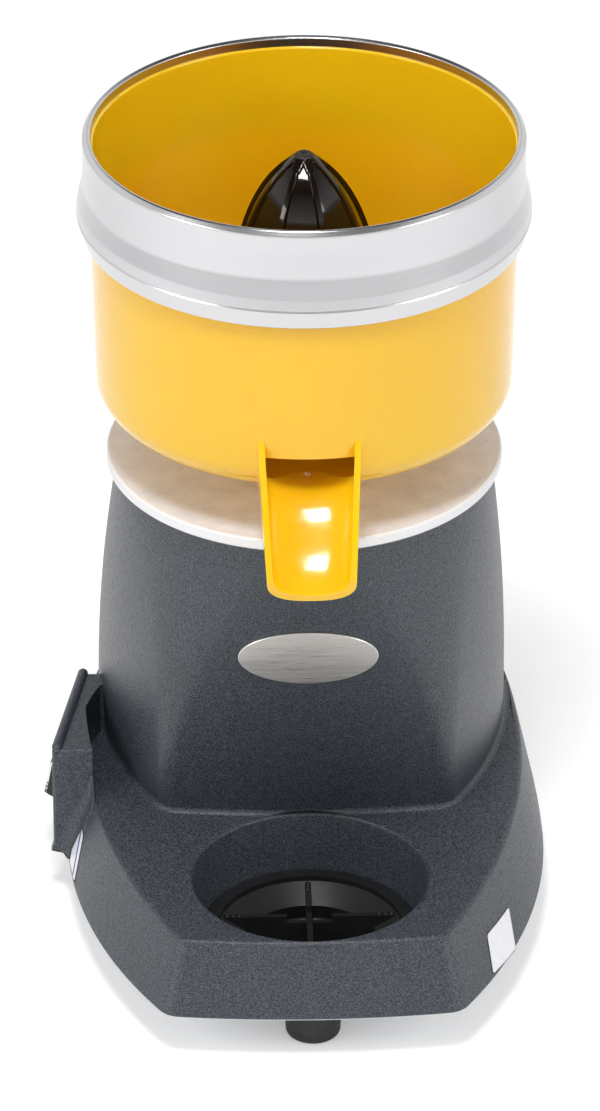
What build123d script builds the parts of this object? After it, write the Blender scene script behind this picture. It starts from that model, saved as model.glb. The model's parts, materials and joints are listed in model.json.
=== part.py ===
"""Motor-driven citrus juicer for a counter or bar: one STEP file for each sub-part.

Millimetres.  +Z is up, the spout points along -Y and the surface that the machine stands
on is Z = 0.  Everything is drawn with the shaft on the Z axis, and is moved sideways once,
when it is written, so that the origin is the middle of the machine's whole footprint.
"""
from build123d import *
from math import atan2, cos, hypot, radians, sin, sqrt
import os

# ---------------------------------------------------------------- fits and gaps
seat_gap = 0.03          # radial gap of a part pressed on its seat
running_gap = 0.05       # radial gap of a turning fit
slip_gap = 0.35          # radial gap between parts that lift off each other

# ---------------------------------------------------------------- main heights
base_bottom = 20.3       # lower edge of the casting
base_top = 47.8          # flat top of the front of the base
column_top = 197.2       # where the top flange sits
disc_thickness = 5.3
bowl_seat_height = 26.1  # boss above the disc that carries the bowl
ring_top = 350.0
shaft_at = (5.5, 5.3)    # the shaft's place when the footprint's middle is the origin

# ---------------------------------------------------------------- casting outlines
# Each outline is a closed curve whose radius of curvature is constant between fixed
# headings: front, front corner, side, rear side, rear corner, rear.
front_heading = 7.0
side_heading = 90.0
rear_side_heading = 98.0
rear_heading = 168.0

foot_sizes = dict(front_y=-163.6, front_half=55.7, corner_r=10.6, corner_heading=58.0,
                  half_width=101.3, rear_side_r=650.0, rear_y=137.0)
deck_sizes = dict(front_y=-146.0, front_half=52.0, corner_r=6.0, corner_heading=63.0,
                  half_width=94.0, rear_side_r=380.0, rear_y=130.0)
column_foot_sizes = dict(front_y=-46.0, front_half=56.0, corner_r=10.0, corner_heading=60.0,
                         half_width=88.3, rear_side_r=60.0, rear_y=127.0)
column_head_r = 79.0     # the column ends in a circle under the disc
flare_start = 1.12       # exponents of the column's width law
flare_end = 2.2
casting_wall = 4.0
deck_edge_r = 2.6
column_steps = 5
head_rim_t = 6.0         # thickness of the column's top
head_bore_r = 60.3       # round opening that the flange's spigot drops into

# ---------------------------------------------------------------- glass recess
recess_y = -95.3
recess_top_r = 49.4
recess_bottom_r = 45.0
recess_wall = 3.4

# ---------------------------------------------------------------- switch panel
panel_front = (-108.5, -29.0)    # outer corners of the raised panel, seen from above
panel_rear = (-96.3, 38.0)
panel_root_x = -78.0     # the panel's foot runs this far into the base
panel_top = 70.5
panel_inner_wall = 3.0
panel_tie_marks = ((-96.0, 0.0), (-90.4, 17.8), (-87.5, 24.5), (-80.0, 24.5), (-80.0, 33.9), (-96.0, 33.9))
panel_web_seat = 4.0     # depth of that fillet's body in the wall and the panel
panel_web = ((20.3, 7.0), (36.0, 7.0), (48.0, 4.5), (58.0, 1.0))   # (height, radius) of its root's fillet
panel_bead_r = 2.2
panel_bead_proud = 0.3
panel_bead_inset = 3.2   # from the panel's corners to the centres of the bead's round ends
panel_edge_r = 1.2

# ---------------------------------------------------------------- top flange
disc_r = 83.1
disc_edge = 0.8
spigot_r = 59.9
spigot_wall = 8.0
spigot_depth = 8.2
bowl_seat_r = 27.0
bowl_seat_top_r = 26.0
shaft_way_r = 9.0
bolt_circle_r = 41.5
pillar_r = 5.5

# ---------------------------------------------------------------- motor
stator_bottom = 104.0
stator_top = 152.0
stator_r = 47.5
rotor_r = 24.0
air_gap = 0.5
rotor_seat_r = 9.0
winding_r = 34.5
winding_height = 11.0
upper_bearing = dict(bore_r=7.5, outer_r=17.5, width=11.0, z=180.0)
lower_bearing = dict(bore_r=6.0, outer_r=16.0, width=10.0, z=82.0)
bearing_hub_wall = 4.5
bearing_balls = 8
shield_bottom = 80.0
shield_plate_z = 84.0
shield_plate_t = 6.0
motor_bolt_r = 2.0
fan_z = 64.0
fan_r = 36.0
fan_blades = 9
shaft_bottom = 60.0
shaft_neck_r = 7.0       # through the seal and the bowl's tube
shaft_tip_r = 6.0        # carries the cone
shaft_shoulder_z = 262.0
shaft_tip_z = 300.0
drive_pin_r = 2.0
drive_pin_length = 16.0
drive_pin_z = 275.0
seal_r = 14.0
seal_height = 6.0
stop_pin_r = 2.0         # radial pins that keep the bowl from turning
stop_pin_z = 211.4
stop_pin_ends = (21.0, 30.5)
stop_pin_headings = (0, 180)
stop_pin_play = 0.4

# ---------------------------------------------------------------- bowl
bowl_rim_z = 345.0
bowl_rim_r = 89.3
bowl_foot_r = 87.0
bowl_foot_z = 237.0
bowl_corner_r = 13.0
bowl_wall = 2.4
bowl_floor_r = 66.0      # where the floor meets the corner
bowl_floor_drop = 2.5    # the floor falls outwards by this much
hub_sleeve_r = 30.0
hub_sleeve_depth = 20.0
tube_r = 14.0
tube_neck_r = 12.0
tube_bore_r = 9.5
tube_shoulder_z = 246.0
tube_top_z = 254.0

# ---------------------------------------------------------------- spout
spout_root_half = 20.9
spout_tip_half = 18.2
spout_edge_start = (-86.5, 249.0)      # (y, z) of the side walls' upper edge
spout_edge_end = (-118.6, 202.6)
spout_floor = ((-88.0, 223.0), (-104.0, 205.0), (-117.5, 197.2))   # (y, z) of the channel's floor
spout_root_y = -70.0
spout_tip_run = (-0.88, -0.47)         # direction of the floor at the lip
spout_corner_r = 7.2
spout_wall = 2.5
spout_drop_share = 1.2                 # wall under the sloping floor, measured upright
spout_mouth_top = 243.6                # upper edge of the opening in the bowl's wall

# ---------------------------------------------------------------- strainer and cone
strainer_r = 79.0
strainer_t = 1.0
strainer_rim = 7.0
strainer_drop = 3.0
slot_rows = ((22.0, 42.0, 20), (47.0, 70.0, 36))   # inner radius, outer radius, how many
slot_width = 2.2
strainer_collar = 9.0
cone_tip_z = 340.8
cone_tip_r = 3.0
cone_crown = 0.2         # the crests' curve starts this far above the tip
cone_spread = 5.93       # radius one millimetre below the curve's start
cone_power = 0.419       # how the radius grows further down
cone_base_z = 264.0
cone_ribs = 8
cone_rib_t = 2.6
cone_rib_height = 1.9
cone_first_rib = -117.0  # heading of one rib, degrees from +X
cone_wall = 2.6
cone_rim_t = 3.0
cone_rim_out = 1.5
cone_post_r = 12.6
hub_hex_r = 10.2         # corners of the six-sided drive hub
hub_length = 34.0
hub_slot_height = 16.0
hub_play = 0.15          # gap round the hub in the cone's socket

# ---------------------------------------------------------------- splash ring
ring_lip_r = 87.8
ring_neck_r = 91.4
ring_belly_r = 94.2
ring_belly_z = 315.0
ring_bottom_r = 91.7
ring_bottom_z = 306.3
ring_wall = 1.5
ring_crease = 0.35

# ---------------------------------------------------------------- base plate, tray, feet
plate_t = 1.5
plate_inset = 3.0
plate_screw_r = 2.0
plate_screws = ((-50.0, -151.0), (50.0, -151.0), (-90.0, -27.0), (90.0, -27.0),
                (-82.0, 68.0), (82.0, 68.0))
plate_boss_r = 5.0
vent_rows = 7
vent_length = 46.0
vent_width = 4.0
vent_pitch = 10.0
vent_y = -16.0
tray_ledge_z = 22.7
tray_rim_gap = 0.4
tray_mouth_r = 39.2
tray_wall = 1.6
tray_shelf_z = 14.0
tray_well_r = 29.6
tray_floor_z = 7.2
tray_hole_r = 41.3
rib_y = -82.4
rib_t = 2.4
rib_top = 20.0
rib_notch_top = 17.0
rib_notch_half = (9.5, 7.0)
rib_bump_r = 1.1
rib_bump_spots = (32.6, 35.0, 37.4)
foot_r = 12.0
foot_sole_r = 11.4
foot_collar_r = 15.5
foot_collar_t = 3.0
feet = dict(front_foot=(0.0, -140.0), left_rear_foot=(-58.0, 96.0),
            right_rear_foot=(58.0, 96.0))
stud_offset = -8.5       # each foot's stud sits forward of its centre
stud_r = 2.0
nut_r = 3.9
nut_t = 3.0
tray_foot_gap = 0.9

# ---------------------------------------------------------------- electrical parts
badge_z = 137.0
badge_half = (29.25, 14.35)
badge_t = 0.9
badge_gap = 0.05
switch_z = 38.5
switch_along = 34.0      # from the panel's front corner along its face
bezel_size = (20.0, 25.0)
bezel_proud = 1.8
switch_width = 16.0
switch_front = (21.4, 5.2)             # height and depth of the body's front behind the face
switch_rear = (12.8, 15.0)             # height and depth of its narrower rear
switch_tag_length = 6.0
hinge_out = 2.0          # the rocker's axis lies this far outside the panel's face
rocker_r = 9.3
rocker_width = 12.6
rocker_face = 4.6
rocker_back = 3.2
rocker_tilt = 10.6
rocker_skin = 0.9
gland_x = 26.0
gland_z = 34.0
gland_pad_r = 12.5
gland_pad_y = 137.6
gland_pad_t = 13.0
gland_thread_r = 6.0
gland_hex_r = 9.0
gland_hex_t = 5.0
lock_nut_t = 3.0
dome_length = 10.0
cable_way_r = 3.75
capacitor_at = (0.0, 86.0)
capacitor_r = 15.0
capacitor_height = 55.0
terminal_at = (-44.0, 74.0)
terminal_size = (32.0, 17.0, 15.0)
flange_screw_circle = 67.5
flange_screw_r = 2.0
flange_screw_headings = (45, 135, 225, 315)

# ---------------------------------------------------------------- worked out
disc_top = column_top + disc_thickness
bowl_seat_z = disc_top + bowl_seat_height
plate_bottom = base_bottom - plate_t
column_height = column_top - base_top
panel_run = (panel_rear[0] - panel_front[0], panel_rear[1] - panel_front[1])
panel_length = hypot(*panel_run)


# ================================================================ small helpers
def rod(radius, low, high, x=0.0, y=0.0):
    """Upright cylinder between two heights."""
    return Pos(x, y, low) * Cylinder(radius, high - low, align=(Align.CENTER, Align.CENTER, Align.MIN))


def tube(outer, inner, low, high, x=0.0, y=0.0):
    """Upright ring between two heights."""
    return rod(outer, low, high, x, y) - rod(inner, low - 1, high + 1, x, y)


def cone_between(low_r, high_r, low, high, x=0.0, y=0.0):
    """Upright truncated cone between two heights."""
    return Pos(x, y, low) * Cone(low_r, high_r, high - low, align=(Align.CENTER, Align.CENTER, Align.MIN))


def block(x_range, y_range, z_range):
    """Box from its limits."""
    size = [b - a for a, b in (x_range, y_range, z_range)]
    return Pos(x_range[0], y_range[0], z_range[0]) * Box(*size, align=(Align.MIN, Align.MIN, Align.MIN))


def turned(points, rounds=None):
    """Solid of revolution from (radius, height) corners, with an optional round at each."""
    if rounds is None:
        outline = Polyline(*points, close=True)
    else:
        outline = FilletPolyline(*points, radius=rounds, close=True)
    return revolve(Plane.XZ * make_face(outline), Axis.Z)


def around(radius, headings):
    """Places at one radius from the Z axis."""
    return [(radius * cos(radians(a)), radius * sin(radians(a))) for a in headings]


# ================================================================ casting
def worked_outline(sizes):
    """Front, corner heading and the six radii of an outline, from its named sizes.

    Along a stretch of radius r, from heading a to heading b, the curve moves by
    r*(sin b - sin a) across and by r*(cos a - cos b) to the rear.  The last two radii
    follow from ending at the stated rear, on the middle line.
    """
    head = [0.0, front_heading, sizes["corner_heading"], side_heading, rear_side_heading, rear_heading]
    s = [sin(radians(a)) for a in head]
    c = [cos(radians(a)) for a in head]
    front = sizes["front_half"] / s[1]
    corner = sizes["corner_r"]
    side = (sizes["half_width"] - sizes["front_half"] - corner * (s[2] - s[1])) / (s[3] - s[2])
    rear_side = sizes["rear_side_r"]
    known = ((front, 0), (corner, 1), (side, 2), (rear_side, 3))
    across = sizes["half_width"] - rear_side * (s[3] - s[4])
    along = sizes["rear_y"] - sizes["front_y"] - sum(r * (c[i] - c[i + 1]) for r, i in known)
    # rear_corner*(s4 - s5) + rear*s5 = across;  rear_corner*(c4 - c5) + rear*(c5 + 1) = along
    det = (s[4] - s[5]) * (c[5] + 1.0) - s[5] * (c[4] - c[5])
    rear_corner = (across * (c[5] + 1.0) - s[5] * along) / det
    rear = ((s[4] - s[5]) * along - across * (c[4] - c[5])) / det
    return dict(front_y=sizes["front_y"], corner_heading=sizes["corner_heading"],
                radii=(front, corner, side, rear_side, rear_corner, rear))


def mixed(low, high, share):
    """Outline between two others with the same corner heading."""
    def between(a, b):
        return a + (b - a) * share
    return dict(front_y=between(low["front_y"], high["front_y"]), corner_heading=low["corner_heading"],
                radii=tuple(between(a, b) for a, b in zip(low["radii"], high["radii"])))


def outline(shape, z, inset=0.0):
    """Face of one horizontal section, moved inwards by inset."""
    head = [0.0, front_heading, shape["corner_heading"], side_heading, rear_side_heading, rear_heading]
    radii = [r - inset for r in shape["radii"]]
    spans = [(-front_heading, front_heading, radii[0])]
    spans += [(head[i], head[i + 1], radii[i]) for i in range(1, 5)]
    spans += [(rear_heading, 360.0 - rear_heading, radii[5])]
    spans += [(360.0 - head[i + 1], 360.0 - head[i], radii[i]) for i in range(4, 0, -1)]
    x = -radii[0] * sin(radians(front_heading))
    y = shape["front_y"] + inset + radii[0] * (1.0 - cos(radians(front_heading)))
    arcs = []
    for start, end, radius in spans:
        centre = (x - radius * sin(radians(start)), y + radius * cos(radians(start)))
        marks = [(centre[0] + radius * sin(radians(a)), centre[1] - radius * cos(radians(a)), z)
                 for a in (start, (start + end) / 2, end)]
        arcs.append(ThreePointArc(*marks))
        x, y = marks[2][0], marks[2][1]
    return make_face(Curve() + arcs)


def base_shape(z):
    """Base outline at a height: straight walls from the lower edge to the deck."""
    share = (z - base_bottom) / (base_top - base_bottom)
    return worked_outline({name: low + (deck_sizes[name] - low) * share for name, low in foot_sizes.items()})


def column_shape(z):
    """Column outline at a height: its front leans evenly, and it swells out of a circle.

    The share of the foot's outline is 1 - (1 - u**flare_start)**flare_end, with u
    counted from 0 at the head to 1 at the deck.
    """
    foot = worked_outline(column_foot_sizes)
    head = dict(front_y=-column_head_r, corner_heading=foot["corner_heading"], radii=(column_head_r,) * 6)
    down = (column_top - z) / column_height
    capped = min(max(down, 0.0), 1.0)
    shape = mixed(head, foot, 1.0 - (1.0 - capped ** flare_start) ** flare_end)
    shape["front_y"] = -column_head_r + (foot["front_y"] + column_head_r) * down
    return shape


def base_block(low, high, inset=0.0):
    """Solid base between two heights."""
    return loft([outline(base_shape(z), z, inset) for z in (low, high)], ruled=True)


def column_block(low, high, inset=0.0):
    """Solid column between two heights."""
    heights = [low + (high - low) * i / (column_steps - 1) for i in range(column_steps)]
    return loft([outline(column_shape(z), z, inset) for z in heights])


def panel_plane(along, z):
    """Plane on the switch panel's face: X along the face to the rear, Y up, Z outwards."""
    run = (panel_run[0] / panel_length, panel_run[1] / panel_length)
    at = (panel_front[0] + run[0] * along, panel_front[1] + run[1] * along, z)
    return Plane(origin=at, x_dir=(run[0], run[1], 0), z_dir=(-run[1], run[0], 0))


def panel_block(inset, low, high):
    """Raised switch panel on the left side of the casting, seen from above a trapezium."""
    run = (panel_run[0] / panel_length, panel_run[1] / panel_length)
    out = (run[1] * inset, -run[0] * inset)
    front = (panel_front[0] + out[0] + run[0] * inset, panel_front[1] + out[1] + run[1] * inset)
    rear = (panel_rear[0] + out[0] - run[0] * inset, panel_rear[1] + out[1] - run[1] * inset)
    face = make_face(Polyline(front, rear, (panel_root_x, rear[1]), (panel_root_x, front[1]), close=True))
    return extrude(Pos(0, 0, low) * face, high - low)


def panel_tie():
    """Part of the panel's top that reaches over the deck's edge to the column."""
    face = make_face(Polyline(*panel_tie_marks, close=True))
    return extrude(Pos(0, 0, base_bottom) * face, panel_top + 5.0 - base_bottom)


def deck_prism(outset, low, high):
    """Upright prism on the deck's outline, grown by outset."""
    return extrude(outline(base_shape(base_top), low, -outset), high - low)


def wall_x(z):
    """Where the base's left wall is beside the panel's front face.

    The side stretch is an arc: its centre lies level with the widest point, in y.
    """
    shape = base_shape(min(z, base_top))
    front, corner, side = shape["radii"][:3]
    c = [cos(radians(a)) for a in (front_heading, shape["corner_heading"])]
    widest_y = shape["front_y"] + front * (1 - c[0]) + corner * (c[0] - c[1]) + side * c[1]
    share = (min(z, base_top) - base_bottom) / (base_top - base_bottom)
    half_width = foot_sizes["half_width"] + (deck_sizes["half_width"] - foot_sizes["half_width"]) * share
    return side - half_width - sqrt(side ** 2 - (widest_y - panel_front[1]) ** 2)


def web_section(z, radius):
    """Corner between the base's wall and the panel's front face, with a hollow round."""
    wall, face = wall_x(z), panel_front[1]
    inner, back = wall + panel_web_seat, face + panel_web_seat
    middle = radius * (1.0 - sqrt(0.5))
    marks = [(wall, face - radius, z), (inner, face - radius, z), (inner, back, z),
             (wall - radius, back, z), (wall - radius, face, z)]
    arc = ThreePointArc(marks[-1], (wall - middle, face - middle, z), marks[0])
    return make_face(Curve() + [arc] + [Line(a, b) for a, b in zip(marks, marks[1:])])


def panel_bead():
    """Rolled bead along the panel's outer upper edge."""
    start = panel_plane(panel_bead_inset, panel_top).offset(panel_bead_proud - panel_bead_r)
    run = Plane(origin=start.origin, z_dir=start.x_dir)
    length = panel_length - 2 * panel_bead_inset
    bead = extrude(run * Circle(panel_bead_r), length)
    ends = [Pos(*(start.origin + start.x_dir * d)) * Sphere(panel_bead_r) for d in (0, length)]
    return bead + ends[0] + ends[1]


def switch_block(extra=0.0):
    """Stepped prism of the switch's body behind the panel's face, grown by extra."""
    plane = panel_plane(switch_along, switch_z)
    shape = Part()
    for height, depth in (switch_front, switch_rear):
        size = (switch_width + 2 * extra, height + 2 * extra)
        shape += extrude(plane.offset(-depth - extra) * Rectangle(*size), depth + 2 * extra)
    return shape


def make_casting():
    """Painted casting: base, leaning column, glass recess and switch panel in one."""
    base = base_block(base_bottom, base_top)
    top_edges = base.faces().sort_by(Axis.Z)[-1].edges()
    base = fillet(top_edges, deck_edge_r)
    column = column_block(base_top - 2.0, column_top)
    panel = fillet(panel_block(0.0, base_bottom, panel_top).edges().filter_by(Axis.Z), panel_edge_r)
    web = loft([web_section(z, r) for z, r in panel_web])
    panel = panel + web - (deck_prism(0.0, base_top - deck_edge_r, panel_top + 1.0) - panel_tie())
    outer = base + column + panel + panel_bead()
    hollow = base_block(base_bottom - 1.0, base_top - casting_wall, casting_wall)
    hollow += column_block(base_top - casting_wall - 3.0, column_top - head_rim_t, casting_wall)
    hollow += (panel_block(casting_wall, base_bottom - 1.0, panel_top - casting_wall)
               - deck_prism(panel_inner_wall, base_top - casting_wall, panel_top))
    recess_shell = cone_between(recess_bottom_r + recess_wall, recess_top_r + recess_wall,
                                base_bottom, base_top, y=recess_y)
    bosses = Part() + [rod(plate_boss_r, base_bottom, base_top - 1.0, *at) for at in plate_screws]
    body = outer - (hollow - recess_shell - bosses)
    body += along_y(gland_pad_r, gland_pad_y - gland_pad_t, gland_pad_t)
    body -= cone_between(recess_bottom_r, recess_top_r, base_bottom, base_top, y=recess_y)
    body -= rod(recess_bottom_r, base_bottom - 1.0, base_bottom, y=recess_y)
    body -= rod(head_bore_r, column_top - head_rim_t - 1.0, column_top + 1.0)
    body -= switch_block(slip_gap)
    for x, y in around(flange_screw_circle, flange_screw_headings):
        body -= rod(flange_screw_r + seat_gap, column_top - head_rim_t - 1.0, column_top + 1.0, x, y)
    for x, y in plate_screws:
        body -= rod(plate_screw_r + seat_gap, base_bottom - 1.0, base_bottom + 12.0, x, y)
    body -= along_y(gland_thread_r + slip_gap, gland_pad_y - gland_pad_t - 1.0, gland_pad_t + 2.0)
    return body


# ================================================================ flange and motor
def make_flange():
    """Machined disc that carries the bowl above and the motor below."""
    spigot_z = column_top - spigot_depth
    hub_r = upper_bearing["outer_r"] + bearing_hub_wall
    flange = rod(disc_r, column_top, disc_top)
    flange = chamfer(flange.edges().filter_by(GeomType.CIRCLE), disc_edge)
    flange += tube(spigot_r, spigot_r - spigot_wall, spigot_z, column_top + 1.0)
    flange += rod(hub_r, upper_bearing["z"], column_top + 1.0)
    seat = turned([(0, disc_top - 1), (bowl_seat_r, disc_top - 1), (bowl_seat_r, bowl_seat_z - 6),
                   (bowl_seat_top_r, bowl_seat_z), (0, bowl_seat_z)])
    flange += seat
    for x, y in around(bolt_circle_r, flange_screw_headings):
        flange += rod(pillar_r, stator_top, column_top + 1.0, x, y)
    flange -= rod(shaft_way_r, 0, bowl_seat_z + 1.0)
    flange -= rod(seal_r + seat_gap, bowl_seat_z - seal_height, bowl_seat_z + 1.0)
    flange -= rod(upper_bearing["outer_r"] + seat_gap, upper_bearing["z"] - 1.0,
                  upper_bearing["z"] + upper_bearing["width"])
    for x, y in around(bolt_circle_r, flange_screw_headings):
        flange -= rod(motor_bolt_r + seat_gap, stator_top - 1.0, stator_top + 20.0, x, y)
    for x, y in around(flange_screw_circle, flange_screw_headings):
        flange -= rod(flange_screw_r + seat_gap, column_top - 1.0, column_top + 4.0, x, y)
    for pin in stop_pins(seat_gap):
        flange -= pin
    return flange


def stop_pins(extra):
    """Radial pins in the boss under the bowl, grown by extra in radius."""
    low, high = stop_pin_ends
    pin = Pos(low, 0, stop_pin_z) * (Rot(0, 90, 0) * Cylinder(
        stop_pin_r + extra, high - low, align=(Align.CENTER, Align.CENTER, Align.MIN)))
    return [Rot(0, 0, heading) * pin for heading in stop_pin_headings]


def make_flange_screws():
    """Screws from inside the column's rim up into the disc."""
    seat = column_top - head_rim_t
    screws = [rod(flange_screw_r, seat, column_top + 3.8, x, y) + rod(2 * flange_screw_r, seat - 3.0, seat, x, y)
              for x, y in around(flange_screw_circle, flange_screw_headings)]
    return screws


def make_shaft_seal():
    """Rubber ring round the shaft in the top of the flange."""
    low = bowl_seat_z - seal_height
    lip = shaft_neck_r + running_gap
    return turned([(lip, low + 1.5), (lip + 1.2, low), (seal_r, low), (seal_r, bowl_seat_z - 0.6),
                   (lip + 3.0, bowl_seat_z - 0.6), (lip, low + 3.5)])


def bearing_rings(size):
    """Outer ring, inner ring and balls of one ball bearing."""
    low, high = size["z"], size["z"] + size["width"]
    pitch = (size["bore_r"] + size["outer_r"]) / 2
    ball = (size["outer_r"] - size["bore_r"]) * 0.3
    groove_r = ball + 0.12
    middle = (low + high) / 2
    groove = revolve(Plane.XZ * (Pos(pitch, middle) * Circle(groove_r)), Axis.Z)
    outer = tube(size["outer_r"], pitch + ball * 0.55, low, high) - groove
    inner = tube(pitch - ball * 0.55, size["bore_r"] + seat_gap, low, high) - groove
    spots = around(pitch, [i * 360.0 / bearing_balls for i in range(bearing_balls)])
    balls = [Pos(x, y, middle) * Sphere(ball) for x, y in spots]
    return outer, inner, balls


def make_shaft():
    """Stepped motor shaft that carries the fan, the rotor and the cone."""
    tip = 1.0
    shoulder = upper_bearing["z"] + upper_bearing["width"] + 14.0
    shaft = turned([(0, shaft_bottom), (lower_bearing["bore_r"], shaft_bottom),
                    (lower_bearing["bore_r"], lower_bearing["z"] + lower_bearing["width"]),
                    (rotor_seat_r, lower_bearing["z"] + lower_bearing["width"]),
                    (rotor_seat_r, upper_bearing["z"]), (upper_bearing["bore_r"], upper_bearing["z"]),
                    (upper_bearing["bore_r"], shoulder), (shaft_neck_r, shoulder),
                    (shaft_neck_r, shaft_shoulder_z), (shaft_tip_r, shaft_shoulder_z),
                    (shaft_tip_r, shaft_tip_z - tip), (shaft_tip_r - tip, shaft_tip_z), (0, shaft_tip_z)])
    return shaft - drive_pin_shape(seat_gap)


def drive_pin_shape(extra=0.0):
    """Cross pin through the shaft's tip."""
    pin = Rot(0, 90, 0) * Cylinder(drive_pin_r + extra, drive_pin_length)
    return Pos(0, 0, drive_pin_z) * pin


def make_rotor_core():
    """Laminated rotor with a short-circuit ring at each end."""
    core = tube(rotor_r, rotor_seat_r + seat_gap, stator_bottom, stator_top)
    for low in (stator_bottom - 5.0, stator_top):
        core += tube(rotor_r - 1.5, rotor_r - 8.0, low, low + 5.0)
    return core


def make_stator_core():
    """Laminated stator with holes for the motor bolts."""
    core = tube(stator_r, rotor_r + air_gap, stator_bottom, stator_top)
    for x, y in around(bolt_circle_r, flange_screw_headings):
        core -= rod(motor_bolt_r + 0.2, stator_bottom - 1, stator_top + 1, x, y)
    return core


def make_windings():
    """Copper end turns above and below the stator."""
    inner = rotor_r + air_gap + 2.0
    above = turned([(inner, stator_top), (winding_r, stator_top), (winding_r, stator_top + winding_height),
                    (inner, stator_top + winding_height)], [0, 0, 3.5, 3.5])
    below = turned([(inner, stator_bottom - winding_height), (winding_r, stator_bottom - winding_height),
                    (winding_r, stator_bottom), (inner, stator_bottom)], [3.5, 3.5, 0, 0])
    return [above, below]


def make_lower_shield():
    """Cast shield that holds the lower bearing, clamped up by the motor bolts."""
    hub_r = lower_bearing["outer_r"] + bearing_hub_wall
    hub_top = lower_bearing["z"] + lower_bearing["width"]
    shield = rod(stator_r, shield_plate_z, shield_plate_z + shield_plate_t)
    shield += rod(hub_r, shield_bottom, hub_top)
    for x, y in around(bolt_circle_r, flange_screw_headings):
        shield += rod(pillar_r, shield_plate_z, stator_bottom, x, y)
    for x, y in around(30.0, (0, 90, 180, 270)):
        shield -= rod(7.0, shield_plate_z - 1, shield_plate_z + shield_plate_t + 1, x, y)
    for x, y in around(bolt_circle_r, flange_screw_headings):
        shield -= rod(motor_bolt_r + 0.2, shield_plate_z - 1, stator_bottom + 1, x, y)
    shield -= rod(lower_bearing["outer_r"] + seat_gap, lower_bearing["z"], hub_top + 1.0)
    shield -= rod(lower_bearing["bore_r"] + 2.0, shield_bottom - 1.0, lower_bearing["z"] + 1.0)
    return shield


def make_motor_bolts():
    """Long bolts through the lower shield and the stator into the flange's pillars."""
    return [rod(motor_bolt_r, shield_plate_z, stator_top + 18.0, x, y)
            + rod(2 * motor_bolt_r, shield_plate_z - 3.0, shield_plate_z, x, y)
            for x, y in around(bolt_circle_r, flange_screw_headings)]


def make_fan():
    """Cooling fan on the lower end of the shaft."""
    bore = lower_bearing["bore_r"] + seat_gap
    fan = tube(9.5, bore, fan_z, fan_z + 13.0) + tube(fan_r, bore, fan_z, fan_z + 1.8)
    blade = block((11.0, fan_r - 1.0), (-0.8, 0.8), (fan_z + 1.0, fan_z + 11.0))
    for i in range(fan_blades):
        fan += Rot(0, 0, i * 360.0 / fan_blades) * (Pos(0, 4.0, 0) * blade)
    return fan


# ================================================================ bowl and what it holds
def bowl_outer_r(z):
    """Outer radius of the bowl's gently tapered wall."""
    share = (z - bowl_foot_z) / (bowl_rim_z - bowl_foot_z)
    return bowl_foot_r + (bowl_rim_r - bowl_foot_r) * share


def bowl_profile(inset):
    """Outside of the bowl, or its inside when moved in by the wall."""
    floor_z = bowl_seat_z + inset
    edge_z = floor_z - bowl_floor_drop
    low_r = bowl_outer_r(edge_z) - inset
    return [(0, floor_z), (hub_sleeve_r, floor_z), (bowl_floor_r, edge_z), (low_r, edge_z),
            (bowl_rim_r - inset, bowl_rim_z + (1.0 if inset else 0.0)), (0, bowl_rim_z + (1.0 if inset else 0.0))]


def spout_block(wall):
    """Outside of the spout, or with no wall its channel, which runs on past lip and edges.

    A side view is cut by a tapering plan view, and the two lower edges are rounded.
    """
    over = 0.0 if wall else 6.0
    start, end = spout_edge_start, spout_edge_end
    slope = (end[1] - start[1]) / (end[0] - start[0])
    root_floor = (spout_root_y, bowl_seat_z + bowl_wall - bowl_floor_drop)
    floor = [(y, z - wall * spout_drop_share) for y, z in (root_floor,) + spout_floor]
    lip = (floor[-1][0] + spout_tip_run[0] * over, floor[-1][1] + spout_tip_run[1] * over)
    edge_end = (end[0] + spout_tip_run[0] * over, end[1] + spout_tip_run[1] * over + over)
    edge_start = (spout_root_y, start[1] + (spout_root_y - start[0]) * slope + over)
    corners = ([lip] if over else []) + [edge_end, edge_start, floor[0]]
    lines = [Line(a, b) for a, b in zip([floor[-1]] + corners[:-1], corners)]
    side = make_face(Curve() + [Spline(*floor, tangents=((-1, -0.1), spout_tip_run))] + lines)
    body = extrude(Plane.YZ * side, 2 * spout_root_half, both=True)
    taper = (spout_root_half - spout_tip_half) / (end[0] - start[0])
    inset = spout_wall - wall
    ends = (spout_root_y, end[0] - 3 * over - 2.0)
    halves = [spout_root_half - inset - (start[0] - y) * -taper for y in ends]
    plan = make_face(Polyline((-halves[0], ends[0]), (halves[0], ends[0]), (halves[1], ends[1]),
                              (-halves[1], ends[1]), close=True))
    body = body & (Pos(0, 0, column_top - 30.0) * extrude(plan, 150.0))
    rounded = [e for e in body.edges() if e.geom_type not in (GeomType.LINE,)]
    return fillet(rounded, spout_corner_r - inset)


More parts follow.
